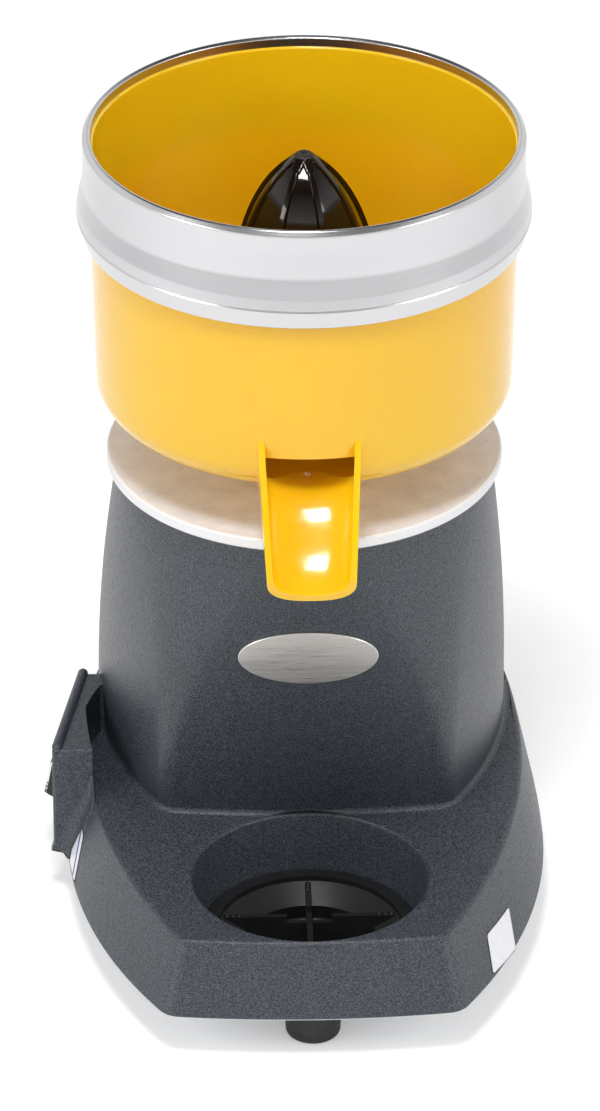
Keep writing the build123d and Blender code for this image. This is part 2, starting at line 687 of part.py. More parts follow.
def make_bowl():
    """Bowl with a central sleeve that sits on the flange, a shaft tube and the spout."""
    rounds = [0, 4.0, 3.0, bowl_corner_r, 1.1, 0]
    inner_rounds = [0, 4.0, 3.0, bowl_corner_r - bowl_wall, 0, 0]
    outside = turned(bowl_profile(0.0), rounds)
    inside = turned(bowl_profile(bowl_wall), inner_rounds)
    spout = spout_block(spout_wall)
    channel = spout_block(0.0)
    mouth = channel & block((-40, 40), (-100, -60), (200, spout_mouth_top))
    bowl = outside + (spout - inside)
    bowl = bowl - inside - (channel - outside) - mouth
    sleeve = tube(hub_sleeve_r, bowl_seat_r + slip_gap, bowl_seat_z - hub_sleeve_depth, bowl_seat_z + 1.0)
    bowl += sleeve
    bowl += rod(tube_r, bowl_seat_z, tube_shoulder_z) + rod(tube_neck_r, bowl_seat_z, tube_top_z)
    bowl -= rod(tube_bore_r, bowl_seat_z - 1.0, tube_top_z + 1.0)
    half = stop_pin_r + stop_pin_play
    notch = block((bowl_seat_r - 1.0, hub_sleeve_r + 1.0), (-half, half),
                  (bowl_seat_z - hub_sleeve_depth - 1.0, stop_pin_z + half))
    for heading in stop_pin_headings:
        bowl -= Rot(0, 0, heading) * notch
    return bowl


def make_strainer():
    """Perforated pressed dish that sits on the shoulder of the bowl's tube."""
    low = tube_shoulder_z
    bore = tube_neck_r + slip_gap
    outer = [(bore, low), (tube_r + 3.0, low), (tube_r + 4.5, low + strainer_drop), (strainer_r - 1.5, low),
             (strainer_r, low + strainer_rim)]
    upper = [(strainer_r - strainer_t, low + strainer_rim), (strainer_r - 1.5 - strainer_t, low + strainer_t),
             (tube_r + 4.5, low + strainer_drop + strainer_t), (tube_r + 2.4, low + strainer_t),
             (bore + strainer_t, low + strainer_t), (bore + strainer_t, low + strainer_collar - 1.0),
             (bore, low + strainer_collar - 1.0)]
    dish = turned(outer + upper)
    slots = []
    for inner_r, outer_r, count in slot_rows:
        slot = block((inner_r, outer_r), (-slot_width / 2, slot_width / 2), (low - 1, low + 10))
        slots += [Rot(0, 0, i * 360.0 / count) * slot for i in range(count)]
    return dish - slots


def cone_radius(z):
    """Radius of the ribs' crests: it grows as a power of the depth below the tip."""
    return cone_spread * (cone_tip_z + cone_crown - z) ** cone_power


def cone_profile(inset, low):
    """Revolved profile of the cone, moved in by inset."""
    heights = [cone_tip_z - 1.2, 335.0, 325.0, 308.0, 288.0, low]
    crest = [(cone_radius(z) - inset, z - inset * 0.4) for z in heights]
    crest[-1] = (crest[-1][0], low)
    top = crest[0][1] + 1.2
    edges = [Line((0, low), crest[-1]), Spline(*reversed(crest)), Line(crest[0], (cone_tip_r - inset * 0.5, top)),
             Line((cone_tip_r - inset * 0.5, top), (0, top)), Line((0, top), (0, low))]
    return revolve(Plane.XZ * make_face(Curve() + edges), Axis.Z)


def make_cone():
    """Fluted reamer: a hollow dome with raised ribs, a base rim and a post for the insert."""
    crests = cone_profile(0.0, cone_base_z)
    panels = cone_profile(cone_rib_height, cone_base_z)
    fins = [Rot(0, 0, cone_first_rib + i * 360.0 / cone_ribs)
            * block((0, 60), (-cone_rib_t / 2, cone_rib_t / 2), (cone_base_z, cone_tip_z + 1))
            for i in range(cone_ribs)]
    cone = panels + (crests & (Part() + fins))
    rim_r = cone_radius(cone_base_z) + cone_rim_out
    cone += turned([(0, cone_base_z), (rim_r, cone_base_z), (rim_r, cone_base_z + cone_rim_t),
                    (0, cone_base_z + cone_rim_t)], [0, 0.8, 1.2, 0])
    cone -= cone_profile(cone_rib_height + cone_wall, cone_base_z) - rod(cone_post_r, cone_base_z, cone_tip_z)
    hub_top = shaft_shoulder_z + hub_length
    socket = RegularPolygon(hub_hex_r + hub_play / cos(radians(30)), 6)
    cone -= extrude(Pos(0, 0, cone_base_z - 1.0) * socket, hub_top - cone_base_z + 1.0)
    cone -= rod(shaft_tip_r + 1.0, cone_base_z, shaft_tip_z + 4.0)
    return cone


def make_drive_hub():
    """Six-sided metal hub under the cone: it slips on the shaft and its slot takes the cross pin."""
    hub = extrude(Pos(0, 0, shaft_shoulder_z) * RegularPolygon(hub_hex_r, 6), hub_length)
    hub -= rod(shaft_tip_r + running_gap, shaft_shoulder_z - 1.0, shaft_shoulder_z + hub_length + 1.0)
    slot = block((-20, 20), (-drive_pin_r - running_gap, drive_pin_r + running_gap),
                 (shaft_shoulder_z - 1.0, shaft_shoulder_z + hub_slot_height))
    return hub - slot


def make_ring():
    """Splash ring: rolled crest, straight neck, flared belly with a crease."""
    inner_neck = ring_neck_r - ring_wall
    belly_in = ring_belly_r - ring_wall
    outer = [(ring_bottom_r, ring_bottom_z), (ring_belly_r, ring_belly_z - 0.6),
             (ring_belly_r - ring_crease, ring_belly_z), (ring_belly_r, ring_belly_z + 0.6),
             (ring_belly_r - 0.6, ring_belly_z + 5.0), (ring_neck_r + 0.1, ring_belly_z + 13.0),
             (ring_neck_r - 0.2, 340.0), (ring_neck_r, ring_top - 2.6), (ring_lip_r + 1.6, ring_top)]
    inner = [(ring_lip_r, ring_top - 1.2), (ring_lip_r, bowl_rim_z), (inner_neck, bowl_rim_z),
             (inner_neck, ring_belly_z + 12.0), (belly_in - 0.5, ring_belly_z + 4.0), (belly_in, ring_belly_z),
             (ring_bottom_r - ring_wall, ring_bottom_z)]
    rounds = [0.5, 0, 0, 0, 3.0, 6.0, 12.0, 1.8, 1.4, 0.8, 0, 0, 5.0, 3.0, 0, 0.5]
    return turned(outer + inner, rounds)


# ================================================================ switch
def make_switch_bezel():
    """Frame of the switch on the panel's face."""
    plane = panel_plane(switch_along, switch_z)
    frame = extrude(plane * RectangleRounded(*bezel_size, 2.0), bezel_proud)
    way = Rectangle(rocker_width + 2 * slip_gap, 2 * (rocker_r + slip_gap))
    return frame - extrude(plane.offset(-1) * way, bezel_proud + 2)


def rocker_plane():
    """Plane through the rocker's axis, level with the panel's face."""
    return panel_plane(switch_along, switch_z).offset(hinge_out)


def rocker_barrel(radius, half_width):
    """Cylinder about the rocker's axis."""
    return rocker_plane() * (Rot(0, 90, 0) * Cylinder(radius, 2 * half_width))


def make_switch_body():
    """Moulded stepped body of the switch behind the panel, open at the front, with two tags."""
    plane = panel_plane(switch_along, switch_z)
    height, depth = switch_rear
    body = switch_block()
    for side in (-1, 1):
        tag = Pos(0, side * height / 3) * Rectangle(4.8, 0.8)
        body += extrude(plane.offset(-depth - switch_tag_length) * tag, switch_tag_length + 1.0)
    reach = switch_front[1] - 0.8
    way = Rectangle(rocker_width + 2 * slip_gap, 2 * (rocker_r + slip_gap))
    pocket = extrude(plane.offset(-reach) * way, reach + 1.0)
    return body - (pocket & rocker_barrel(rocker_r + slip_gap, rocker_width))


def rocker_shape(radius, face, half_width):
    """Sector of a cylinder about the hinge, cut by the flat tilted paddle face."""
    plane = rocker_plane()
    keep = plane * Rot(rocker_tilt, 0, 0) * (Pos(0, 0, face - 50.0) * Box(80, 80, 100))
    back = plane * (Pos(0, 0, -rocker_back + 50.0) * Box(80, 80, 100))
    return rocker_barrel(radius, half_width) & keep & back


def make_rocker():
    """Rocker that tips between off and on."""
    return rocker_shape(rocker_r, rocker_face, rocker_width / 2)


def make_rocker_cover():
    """Clear splash skin over the rocker's face."""
    outer = rocker_shape(rocker_r, rocker_face + badge_gap + rocker_skin, rocker_width / 2)
    return outer - rocker_shape(rocker_r + 1.0, rocker_face + badge_gap, rocker_width / 2 + 1.0)


# ================================================================ base, tray, feet, electrics
def make_base_plate():
    """Sheet-metal floor with vents, held to the casting's bosses."""
    plate = extrude(outline(worked_outline(foot_sizes), plate_bottom, plate_inset), plate_t)
    plate -= rod(tray_hole_r, plate_bottom - 1, base_bottom + 1, y=recess_y)
    for i in range(vent_rows):
        y = vent_y + i * vent_pitch
        plate -= block((-vent_length / 2, vent_length / 2), (y, y + vent_width), (plate_bottom - 1, base_bottom + 1))
    for x, y in plate_screws:
        plate -= rod(plate_screw_r + 0.2, plate_bottom - 1, base_bottom + 1, x, y)
    for x, y in feet.values():
        plate -= rod(stud_r + 0.2, plate_bottom - 1, base_bottom + 1, x, y + stud_offset)
    return plate


def make_plate_screws():
    """Screws that hold the base plate to the casting."""
    return [rod(plate_screw_r, plate_bottom, base_bottom + 10.0, x, y)
            + rod(2 * plate_screw_r, plate_bottom - 2.2, plate_bottom, x, y) for x, y in plate_screws]


def tray_profile(extra=0.0):
    """Outside of the drip tray below its rim, grown by extra."""
    wall = tray_wall + extra
    return [(0, tray_floor_z - wall), (tray_well_r + wall, tray_floor_z - wall),
            (tray_well_r + wall, tray_shelf_z - extra), (tray_mouth_r + wall, base_bottom - extra),
            (tray_mouth_r + wall, tray_ledge_z), (0, tray_ledge_z)]


def make_tray():
    """Lift-out drip tray with a ledge, a well and a cross of ribs with a lowered middle."""
    cup = turned(tray_profile(), [0, 2.0, 0, 0, 0, 0])
    well = turned([(0, tray_floor_z), (tray_well_r, tray_floor_z), (tray_well_r, tray_shelf_z),
                   (tray_mouth_r, base_bottom), (tray_mouth_r, tray_ledge_z + 1), (0, tray_ledge_z + 1)],
                  [0, 1.5, 0, 0, 0, 0])
    rim = tube(recess_bottom_r - tray_rim_gap, tray_mouth_r, base_bottom, tray_ledge_z)
    at = Pos(0, recess_y, 0)
    inside = at * well
    cross_y = (rib_y - rib_t / 2, rib_y + rib_t / 2)
    along = block((-rib_t / 2, rib_t / 2), (-150, -50), (tray_floor_z - 0.5, rib_top))
    across = block((-50, 50), cross_y, (tray_floor_z - 0.5, rib_top))
    notch = block((-rib_notch_half[0], rib_notch_half[0]), (rib_y - rib_notch_half[1], rib_y + rib_notch_half[1]),
                  (rib_notch_top, rib_top + 1))
    ribs = (along + across - notch) & inside
    bumps = Part()
    for spot in rib_bump_spots:
        reach = sqrt(spot ** 2 - (rib_y - recess_y) ** 2)
        places = [(-reach, rib_y), (reach, rib_y), (0, recess_y + spot)]
        for x, y in places:
            bumps += cone_between(rib_bump_r, 0.3, rib_top - 0.2, rib_top + 1.2, x, y)
    return at * (cup - well) + at * rim + ribs + bumps


def make_foot(x, y, relieved):
    """Rubber foot with a collar under the base plate and a moulded-in stud's hole."""
    collar_z = plate_bottom - foot_collar_t
    foot = turned([(0, 0), (foot_sole_r, 0), (foot_r, collar_z), (foot_collar_r, collar_z),
                   (foot_collar_r, plate_bottom), (0, plate_bottom)], [0, 2.2, 0, 0.8, 0.8, 0])
    foot -= rod(stud_r + seat_gap, plate_bottom - 9.0, plate_bottom + 1.0, 0, stud_offset)
    foot = Pos(x, y, 0) * foot
    if relieved:
        foot -= Pos(0, recess_y, 0) * turned(tray_profile(tray_foot_gap))
    return foot


def make_foot_studs():
    """Studs moulded into the feet."""
    return [rod(stud_r, plate_bottom - 9.0, base_bottom + nut_t + 1.0, x, y + stud_offset) for x, y in feet.values()]


def make_foot_nuts():
    """Hexagon nuts on the studs, inside the base."""
    nuts = []
    for x, y in feet.values():
        nut = extrude(Pos(x, y + stud_offset, base_bottom) * RegularPolygon(nut_r, 6), nut_t)
        nuts.append(nut - rod(stud_r + seat_gap, base_bottom - 1, base_bottom + nut_t + 1, x, y + stud_offset))
    return nuts


def make_badge():
    """Bare oval plate that follows the column's front."""
    lean = atan2(column_head_r + column_foot_sizes["front_y"], column_height)
    front_y = column_shape(badge_z)["front_y"]
    plane = Plane(origin=(0, front_y, badge_z), x_dir=(1, 0, 0), z_dir=(0, -cos(lean), -sin(lean)))
    oval = extrude(plane * Ellipse(*badge_half), 12.0, both=True)
    low, high = badge_z - 25.0, badge_z + 25.0
    skin = column_block(low, high, -badge_gap - badge_t) - column_block(low - 1, high + 1, -badge_gap)
    return oval & skin & block((-60, 60), (-120, 0), (low, high))


def make_capacitor():
    """Motor capacitor standing on the base plate, with two tags."""
    x, y = capacitor_at
    can = turned([(0, base_bottom), (capacitor_r, base_bottom), (capacitor_r, base_bottom + capacitor_height),
                  (0, base_bottom + capacitor_height)], [0, 1.5, 2.0, 0])
    can = Pos(x, y, 0) * can
    top = base_bottom + capacitor_height
    for side in (-5.0, 5.0):
        can += block((x + side - 0.4, x + side + 0.4), (y - 3.2, y + 3.2), (top - 1, top + 8))
    return can


def make_capacitor_clip():
    """Band round the capacitor with a foot on the base plate."""
    x, y = capacitor_at
    band = tube(capacitor_r + 1.2, capacitor_r + seat_gap, base_bottom, base_bottom + 12.0, x, y)
    lug = block((x + capacitor_r + 0.6, x + capacitor_r + 13.0), (y - 6, y + 6), (base_bottom, base_bottom + 1.5))
    return band + lug


def make_terminal_block():
    """Terminal block for the supply wires."""
    x, y = terminal_at
    w, d, h = terminal_size
    body = block((x - w / 2, x + w / 2), (y - d / 2, y + d / 2), (base_bottom, base_bottom + h * 0.55))
    body += block((x - w / 2, x + w / 2), (y - d / 4, y + d / 4), (base_bottom, base_bottom + h))
    for i in (-1, 0, 1):
        body -= rod(1.8, base_bottom + h * 0.5, base_bottom + h + 1, x + i * 10.0, y)
    return body


def along_y(radius, start, length):
    """Cylinder on the gland's axis, from one Y towards the rear."""
    return Pos(gland_x, start, gland_z) * (Rot(-90, 0, 0) * Cylinder(
        radius, length, align=(Align.CENTER, Align.CENTER, Align.MIN)))


def hex_along_y(radius, start, length):
    """Hexagonal prism on the gland's axis, from one Y towards the rear."""
    plane = Plane(origin=(gland_x, start, gland_z), x_dir=(1, 0, 0), z_dir=(0, 1, 0))
    return extrude(plane * RegularPolygon(radius, 6), length)


def make_gland_body():
    """Gland body: thread through the casting's rear pad and a hexagon outside it."""
    inner_end = gland_pad_y - gland_pad_t - 5.0
    body = along_y(gland_thread_r, inner_end, gland_pad_y - inner_end + 1.0)
    body += hex_along_y(gland_hex_r, gland_pad_y, gland_hex_t)
    return body - along_y(cable_way_r + 0.8, inner_end - 1.0, 40.0)


def make_gland_nut():
    """Dome nut that closes the gland round the cable."""
    start = gland_pad_y + gland_hex_t
    plane = Plane(origin=(gland_x, start, gland_z), z_dir=(0, 1, 0))
    nut = plane * (Cylinder(gland_hex_r - 0.6, dome_length, align=(Align.CENTER, Align.CENTER, Align.MIN)))
    nut = fillet(nut.edges().sort_by(Axis.Y)[-1], 4.0)
    return nut - along_y(cable_way_r, start - 1.0, dome_length + 2.0)


def make_lock_nut():
    """Lock nut of the gland, inside the casting."""
    start = gland_pad_y - gland_pad_t - lock_nut_t
    nut = hex_along_y(gland_hex_r, start, lock_nut_t)
    return nut - along_y(gland_thread_r + seat_gap, start - 1.0, lock_nut_t + 2.0)


# ================================================================ all sub-parts
def build():
    """Every node and its shape; a list is a group of separate solids."""
    upper_outer, upper_inner, upper_balls = bearing_rings(upper_bearing)
    lower_outer, lower_inner, lower_balls = bearing_rings(lower_bearing)
    nodes = {
        "body_casting": make_casting(),
        "top_flange": make_flange(),
        "flange_screws": make_flange_screws(),
        "bowl_stop_pins": stop_pins(0.0),
        "shaft_seal": make_shaft_seal(),
        "upper_bearing_outer_ring": upper_outer,
        "upper_bearing_inner_ring": upper_inner,
        "upper_bearing_balls": upper_balls,
        "lower_bearing_outer_ring": lower_outer,
        "lower_bearing_inner_ring": lower_inner,
        "lower_bearing_balls": lower_balls,
        "motor_shaft": make_shaft(),
        "drive_pin": drive_pin_shape(),
        "rotor_core": make_rotor_core(),
        "stator_core": make_stator_core(),
        "stator_windings": make_windings(),
        "lower_motor_shield": make_lower_shield(),
        "motor_bolts": make_motor_bolts(),
        "cooling_fan": make_fan(),
        "juice_bowl": make_bowl(),
        "strainer": make_strainer(),
        "squeezing_cone": make_cone(),
        "drive_hub": make_drive_hub(),
        "splash_ring": make_ring(),
        "switch_bezel": make_switch_bezel(),
        "switch_body": make_switch_body(),
        "rocker": make_rocker(),
        "rocker_cover": make_rocker_cover(),
        "base_plate": make_base_plate(),
        "base_plate_screws": make_plate_screws(),
        "drip_tray": make_tray(),
        "foot_studs": make_foot_studs(),
        "foot_nuts": make_foot_nuts(),
        "badge_plate": make_badge(),
        "capacitor": make_capacitor(),
        "capacitor_clip": make_capacitor_clip(),
        "terminal_block": make_terminal_block(),
        "gland_body": make_gland_body(),
        "gland_nut": make_gland_nut(),
        "gland_lock_nut": make_lock_nut(),
    }
    for name, at in feet.items():
        nodes[name] = make_foot(*at, relieved=name == "front_foot")
    return nodes


def main():
    """Write one STEP file for each node."""
    os.makedirs("parts", exist_ok=True)
    place = Pos(*shaft_at, 0)
    for node, shape in build().items():
        if isinstance(shape, list):
            moved = Compound(children=[place * solid for solid in shape])
        else:
            moved = place * shape
        export_step(moved, f"parts/{node}.step")


main()
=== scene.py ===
"""Dresses the packed citrus juicer: its visible surfaces, finishes, lamps and camera.

Shapes are drawn in millimetres round the motor's shaft, with heights along Z from the
table and the spout along -Y.  They are moved to the packed model's frame, in metres, where
a mesh is made.
"""
import json
import math

import bmesh
import bpy
import numpy as np
from bpy.props import FloatProperty, FloatVectorProperty, IntProperty, PointerProperty
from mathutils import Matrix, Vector


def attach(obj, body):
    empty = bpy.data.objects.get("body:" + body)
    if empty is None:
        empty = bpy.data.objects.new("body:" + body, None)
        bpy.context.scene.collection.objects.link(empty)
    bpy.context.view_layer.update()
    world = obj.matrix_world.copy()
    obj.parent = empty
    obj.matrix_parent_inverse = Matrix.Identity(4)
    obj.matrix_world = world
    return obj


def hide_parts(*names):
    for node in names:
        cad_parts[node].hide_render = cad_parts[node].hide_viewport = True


bl_info = {
    "name": "Citrus Juicer",
    "version": (1, 0, 0),
    "blender": (4, 5, 0),
    "location": "3D View > Sidebar > Juicer",
    "description": "Builds the surfaces and finishes of a motor-driven citrus juicer",
    "category": "Object",
}

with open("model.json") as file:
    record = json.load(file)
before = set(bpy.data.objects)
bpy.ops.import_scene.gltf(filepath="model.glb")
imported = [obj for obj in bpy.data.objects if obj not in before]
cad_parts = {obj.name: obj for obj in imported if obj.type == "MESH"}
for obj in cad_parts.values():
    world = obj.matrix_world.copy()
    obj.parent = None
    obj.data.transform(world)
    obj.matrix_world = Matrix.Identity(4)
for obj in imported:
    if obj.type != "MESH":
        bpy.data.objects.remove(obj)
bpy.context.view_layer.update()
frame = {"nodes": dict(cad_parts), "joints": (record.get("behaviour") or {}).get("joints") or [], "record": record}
RECORD = frame["record"]
NODES = frame["nodes"]
SLOTS = {part["node"]: part["material_slot"] for part in RECORD["subparts"]}
BODIES = {node: body for body, nodes in RECORD["behaviour"]["bodies"].items() for node in nodes}
MM = 0.001
SHAFT = np.array(next(j["pos_m"] for j in frame["joints"] if j["name"] == "shaft_spin")) * (1, 1, 0)

# ---------------------------------------------------------------- casting, in millimetres
BASE_BOTTOM = 20.3
BASE_TOP = 47.8
COLUMN_TOP = 197.2
COLUMN_R = 79.0
WALL = 4.0
FOOT_OUTLINE = dict(front_y=-163.6, front_half=56.4, corner_r=10.6, corner_heading=58.0,
                    half_width=102.3, rear_side_r=650.0, rear_y=137.0)
DECK_OUTLINE = dict(front_y=-146.0, front_half=52.0, corner_r=6.0, corner_heading=63.0,
                    half_width=94.0, rear_side_r=380.0, rear_y=130.0)
COLUMN_OUTLINE = dict(front_y=-46.0, front_half=56.0, corner_r=10.0, corner_heading=60.0,
                      half_width=88.3, rear_side_r=60.0, rear_y=127.0)
HEADINGS = (0.0, 7.0, None, 90.0, 98.0, 168.0, 180.0)   # None is the outline's corner_heading
LIP_R = 0.8
HEAD_EDGE = 0.8
HEAD_BORE_R = 60.3
HEAD_DEPTH = 6.0
RECESS_Y = -95.3
RECESS_R = 49.3
DECK_SINK = 2.6
CLEAR_Z = 90.0
PANEL_FRONT = np.array([-108.5, -29.0])
PANEL_REAR = np.array([-96.3, 38.0])
PANEL_INNER_X = -78.0
PANEL_TOP = 70.5
PANEL_EDGE = 1.2
PANEL_TIE = [(-96.0, 0.0), (-90.4, 17.8), (-87.5, 24.5), (-80.0, 24.5), (-80.0, 33.9), (-96.0, 33.9)]
WEB_TOP = 58.0
SWITCH_PLACE = (34.0, 38.5)                     # along the panel and up from the table
SWITCH_STEPS = ((11.0, 5.5), (6.7, 15.5))       # half height and depth
SWITCH_HALF = 8.3
GLAND = (26.0, 34.0)

# ---------------------------------------------------------------- flange, bowl and cone
DISC_TOP = 202.5
DISC_R = 83.1
FLANGE_BORE_R = 59.9
PILLAR_AT = 41.5
BOWL_SEAT = 228.6
BOWL_FLOOR = 228.5
BOWL_WALL = 2.4
SPOUT_ROOT = 86.5
SPOUT_POWER = 2.6
SPOUT_WALL = 2.5
SPOUT_REACH = 117.5
SPOUT_SLOPE = 0.534
TROUGH_RISE = 11.6
CHANNEL_RISE = 9.6
RIM_Z = 345.0
CONE_TIP = 339.3
CONE_BASE = 264.0
FIRST_RIB = -117.0
RIB_HEIGHT = 1.7
PANEL_FLATNESS = 0.7
FINE_TURN = 224

# ---------------------------------------------------------------- badge and labels
BADGE_Z = 137.0
BADGE_HALF = (29.25, 14.35)
FRONT_LEAN = 0.2209
# side, middle as outline place and height (u, z), and what both grow by in a millimetre along and up
RIGHT_WALL = (1, (2.269, 27.4), (0.00706, -0.066), (0.00114, 0.69))
LEFT_WALL = (-1, (2.80, 28.4), (0.0067, 0.0), (0.0, 0.93))
BAND_WALL = (-1, (2.775, 28.4), (0.0067, 0.0), (0.0, 0.93))
LABELS = (  # name, place, half size, lift, finish
    ("label_right_edge", RIGHT_WALL, (12.9, 9.1), 0.03, "black_plastic"),
    ("label_right", RIGHT_WALL, (12.5, 8.7), 0.15, "label"),
    ("label_left_edge", LEFT_WALL, (9.0, 7.5), 0.03, "black_plastic"),
    ("label_left", LEFT_WALL, (8.6, 7.1), 0.15, "label"),
    ("label_left_band", BAND_WALL, (0.9, 6.8), 0.28, "label_band"),
)

# ---------------------------------------------------------------- stage, in metres and degrees
CAMERA = dict(lens=234.8, sensor_width=36.0, shift_x=-0.00377, shift_y=-0.04979, clip_end=30.0)
CAMERA_RISE, CAMERA_SWING, CAMERA_AWAY, CAMERA_AIM = 29.612, -1.515, 3.06, 0.175
LAMP_AIM = 0.2
LAMPS = (  # name, place from where it aims, size and share of the light
    ("lamp_left", (-1.35, -0.75, 0.75), 0.6, 0.3),
    ("lamp_right", (1.35, -0.75, 0.7), 0.6, 0.25),
    ("lamp_top", (-0.1, -0.6, 1.35), 0.32, 0.7),
)
CEILING = (1.0, 0.06, 0.4, 0.72)    # levels below and above, and the heights between which it falls
FLOOR_REACH = 6.0
FLOOR_GLOW = 0.3
SOFTENED = {  # bevel in millimetres of each packed node that is shown as it is
    "switch_bezel": 0.4, "switch_body": 0.2, "rocker": 0.3, "gland_body": 0.3, "gland_nut": 0.3,
    "drive_hub": 0.25, "base_plate": 0.0, "strainer": 0.0, "drip_tray": 0.0, "front_foot": 0.0,
    "left_rear_foot": 0.0, "right_rear_foot": 0.0, "rocker_cover": 0.0,
}


# ================================================================ plain geometry
def unit(v):
    """Vectors of length one along the last axis."""
    return v / np.maximum(np.linalg.norm(v, axis=-1, keepdims=True), 1e-9)


def arc_between(corner, a, b, radius, share):
    """Point on the arc that touches both legs of a corner.

    a and b are unit vectors along the legs and share runs from 0 to 1.  The centre lies on
    the bisector at radius / sin(half angle), and the arc turns evenly from one touching
    point to the other.
    """
    half = np.arccos(np.clip((a * b).sum(-1, keepdims=True), -1, 1)) / 2
    centre = corner + unit(a + b) * radius / np.sin(half)
    start = corner + a * radius / np.tan(half) - centre
    end = corner + b * radius / np.tan(half) - centre
    turn = np.maximum(np.pi - 2 * half, 1e-6)
    return centre + (start * np.sin((1 - share) * turn) + end * np.sin(share * turn)) / np.sin(turn)


def rounded(corners, radii, steps=7):
    """Closed outline of straight runs whose corners are rounded by the given radii.

    Each corner of radius above nought becomes `steps` points of its touching arc.
    """
    p = np.asarray(corners, float)
    r = np.asarray(radii, float)
    a = unit(np.roll(p, 1, 0) - p)
    b = unit(np.roll(p, -1, 0) - p)
    share = np.linspace(0, 1, steps)[None, :, None]
    arcs = arc_between(p[:, None], a[:, None], b[:, None], r[:, None, None], share)
    keep = (np.arange(steps) == 0) | (r[:, None] > 0)
    return arcs[keep]


def dense(outline, longest):
    """Closed outline with points added so that no run is longer than `longest`."""
    nxt = np.roll(outline, -1, 0)
    count = np.maximum(np.ceil(np.linalg.norm(nxt - outline, axis=1) / longest).astype(int), 1)
    start = np.repeat(outline, count, 0)
    step = np.repeat((nxt - outline) / count[:, None], count, 0)
    index = np.arange(count.sum()) - np.repeat(np.cumsum(count) - count, count)
    return start + step * index[:, None]


def rectangle(across, up, corner_r):
    """Outline of a rectangle of the given half sizes with rounded corners."""
    return rounded([(-across, -up), (across, -up), (across, up), (-across, up)], [corner_r] * 4)


def swung(outline, columns, centre=(0.0, 0.0)):
    """Grid of an outline of (radius, height) turned once about an upright axis."""
    angle = np.linspace(0, 2 * np.pi, columns, endpoint=False)
    r, z = outline[:, :1], outline[:, 1:]
    x, y = centre[0] + r * np.cos(angle), centre[1] + r * np.sin(angle)
    return np.stack(np.broadcast_arrays(x, y, z), -1)


def at_height(xy, z):
    """Rows of (x, y) points with their heights."""
    return np.concatenate([xy, np.broadcast_to(z, xy.shape[:-1])[..., None]], -1)


def smooth_step(t):
    """3t^2 - 2t^3 of a value kept between 0 and 1."""
    t = np.clip(t, 0, 1)
    return t * t * (3 - 2 * t)


# ================================================================ meshes
def surface(name, grid, loop_rows=True, caps=False):
    """Object from a grid of points (rows, columns, 3) in millimetres; its columns always close.

    Rows close too, or the first and last row shrink to a middle point when caps is true.
    """
    if caps:
        ends = [np.broadcast_to(grid[i].mean(0), grid[i].shape)[None] for i in (0, -1)]
        grid = np.concatenate([ends[0], grid, ends[1]])
    rows, columns = grid.shape[:2]
    i = np.arange(rows if loop_rows and not caps else rows - 1)[:, None]
    j = np.arange(columns)[None, :]
    corners = [(i, j), (i, j + 1), (i + 1, j + 1), (i + 1, j)]
    quads = np.stack([(r % rows) * columns + c % columns for r, c in corners], -1).reshape(-1, 4)
    mesh = bpy.data.meshes.new(name)
    mesh.vertices.add(rows * columns)
    mesh.vertices.foreach_set("co", (grid * MM + SHAFT).ravel())
    mesh.loops.add(quads.size)
    mesh.loops.foreach_set("vertex_index", quads.ravel())
    mesh.polygons.add(len(quads))
    mesh.polygons.foreach_set("loop_start", np.arange(len(quads)) * 4)
    mesh.update(calc_edges=True)
    mesh.validate()
    return linked(name, mesh)


def turned(name, profile, columns, centre=(0.0, 0.0), closed=False):
    """Object of a profile of (radius, height) turned about an upright axis.

    A profile that isn't closed starts and ends on the axis.
    """
    return surface(name, swung(np.asarray(profile, float), columns, centre), loop_rows=closed)


def prism(name, outline, low, high):
    """Solid of a flat outline in millimetres, carried upright between two heights."""
    n = len(outline)
    i = np.arange(n)
    ring = np.asarray(outline, float)
    points = np.concatenate([at_height(ring, low), at_height(ring, high)])
    walls = np.stack([i, (i + 1) % n, (i + 1) % n + n, i + n], 1)
    mesh = bpy.data.meshes.new(name)
    mesh.from_pydata(points * MM + SHAFT, [], [i.tolist(), (i + n).tolist(), *walls.tolist()])
    return linked(name, mesh)


def linked(name, mesh, distance=1e-6):
    """Put a mesh in the scene with its doubled points merged and all faces turned outwards."""
    obj = bpy.data.objects.new(name, mesh)
    bpy.context.scene.collection.objects.link(obj)
    bm = bmesh.new()
    bm.from_mesh(mesh)
    bmesh.ops.remove_doubles(bm, verts=bm.verts, dist=distance)
    bmesh.ops.dissolve_degenerate(bm, edges=bm.edges, dist=distance)
    bmesh.ops.recalc_face_normals(bm, faces=bm.faces)
    bm.to_mesh(mesh)
    bm.free()
    return obj


def applied(obj):
    """Put the result of the object's modifiers into its mesh."""
    graph = bpy.context.evaluated_depsgraph_get()
    mesh = bpy.data.meshes.new_from_object(obj.evaluated_get(graph))
    obj.modifiers.clear()
    obj.data = mesh


def combine(target, tool, operation):
    """Boolean of two closed solids; the tool goes away."""
    cut = target.modifiers.new("cut", "BOOLEAN")
    cut.operation = operation
    cut.solver = "EXACT"
    cut.object = tool
    applied(target)
    bpy.data.objects.remove(tool)


def joined(target, *others):
    """Several closed shells in one mesh."""
    bm = bmesh.new()
    for obj in (target, *others):
        bm.from_mesh(obj.data)
    bm.to_mesh(target.data)
    bm.free()
    for obj in others:
        bpy.data.objects.remove(obj)


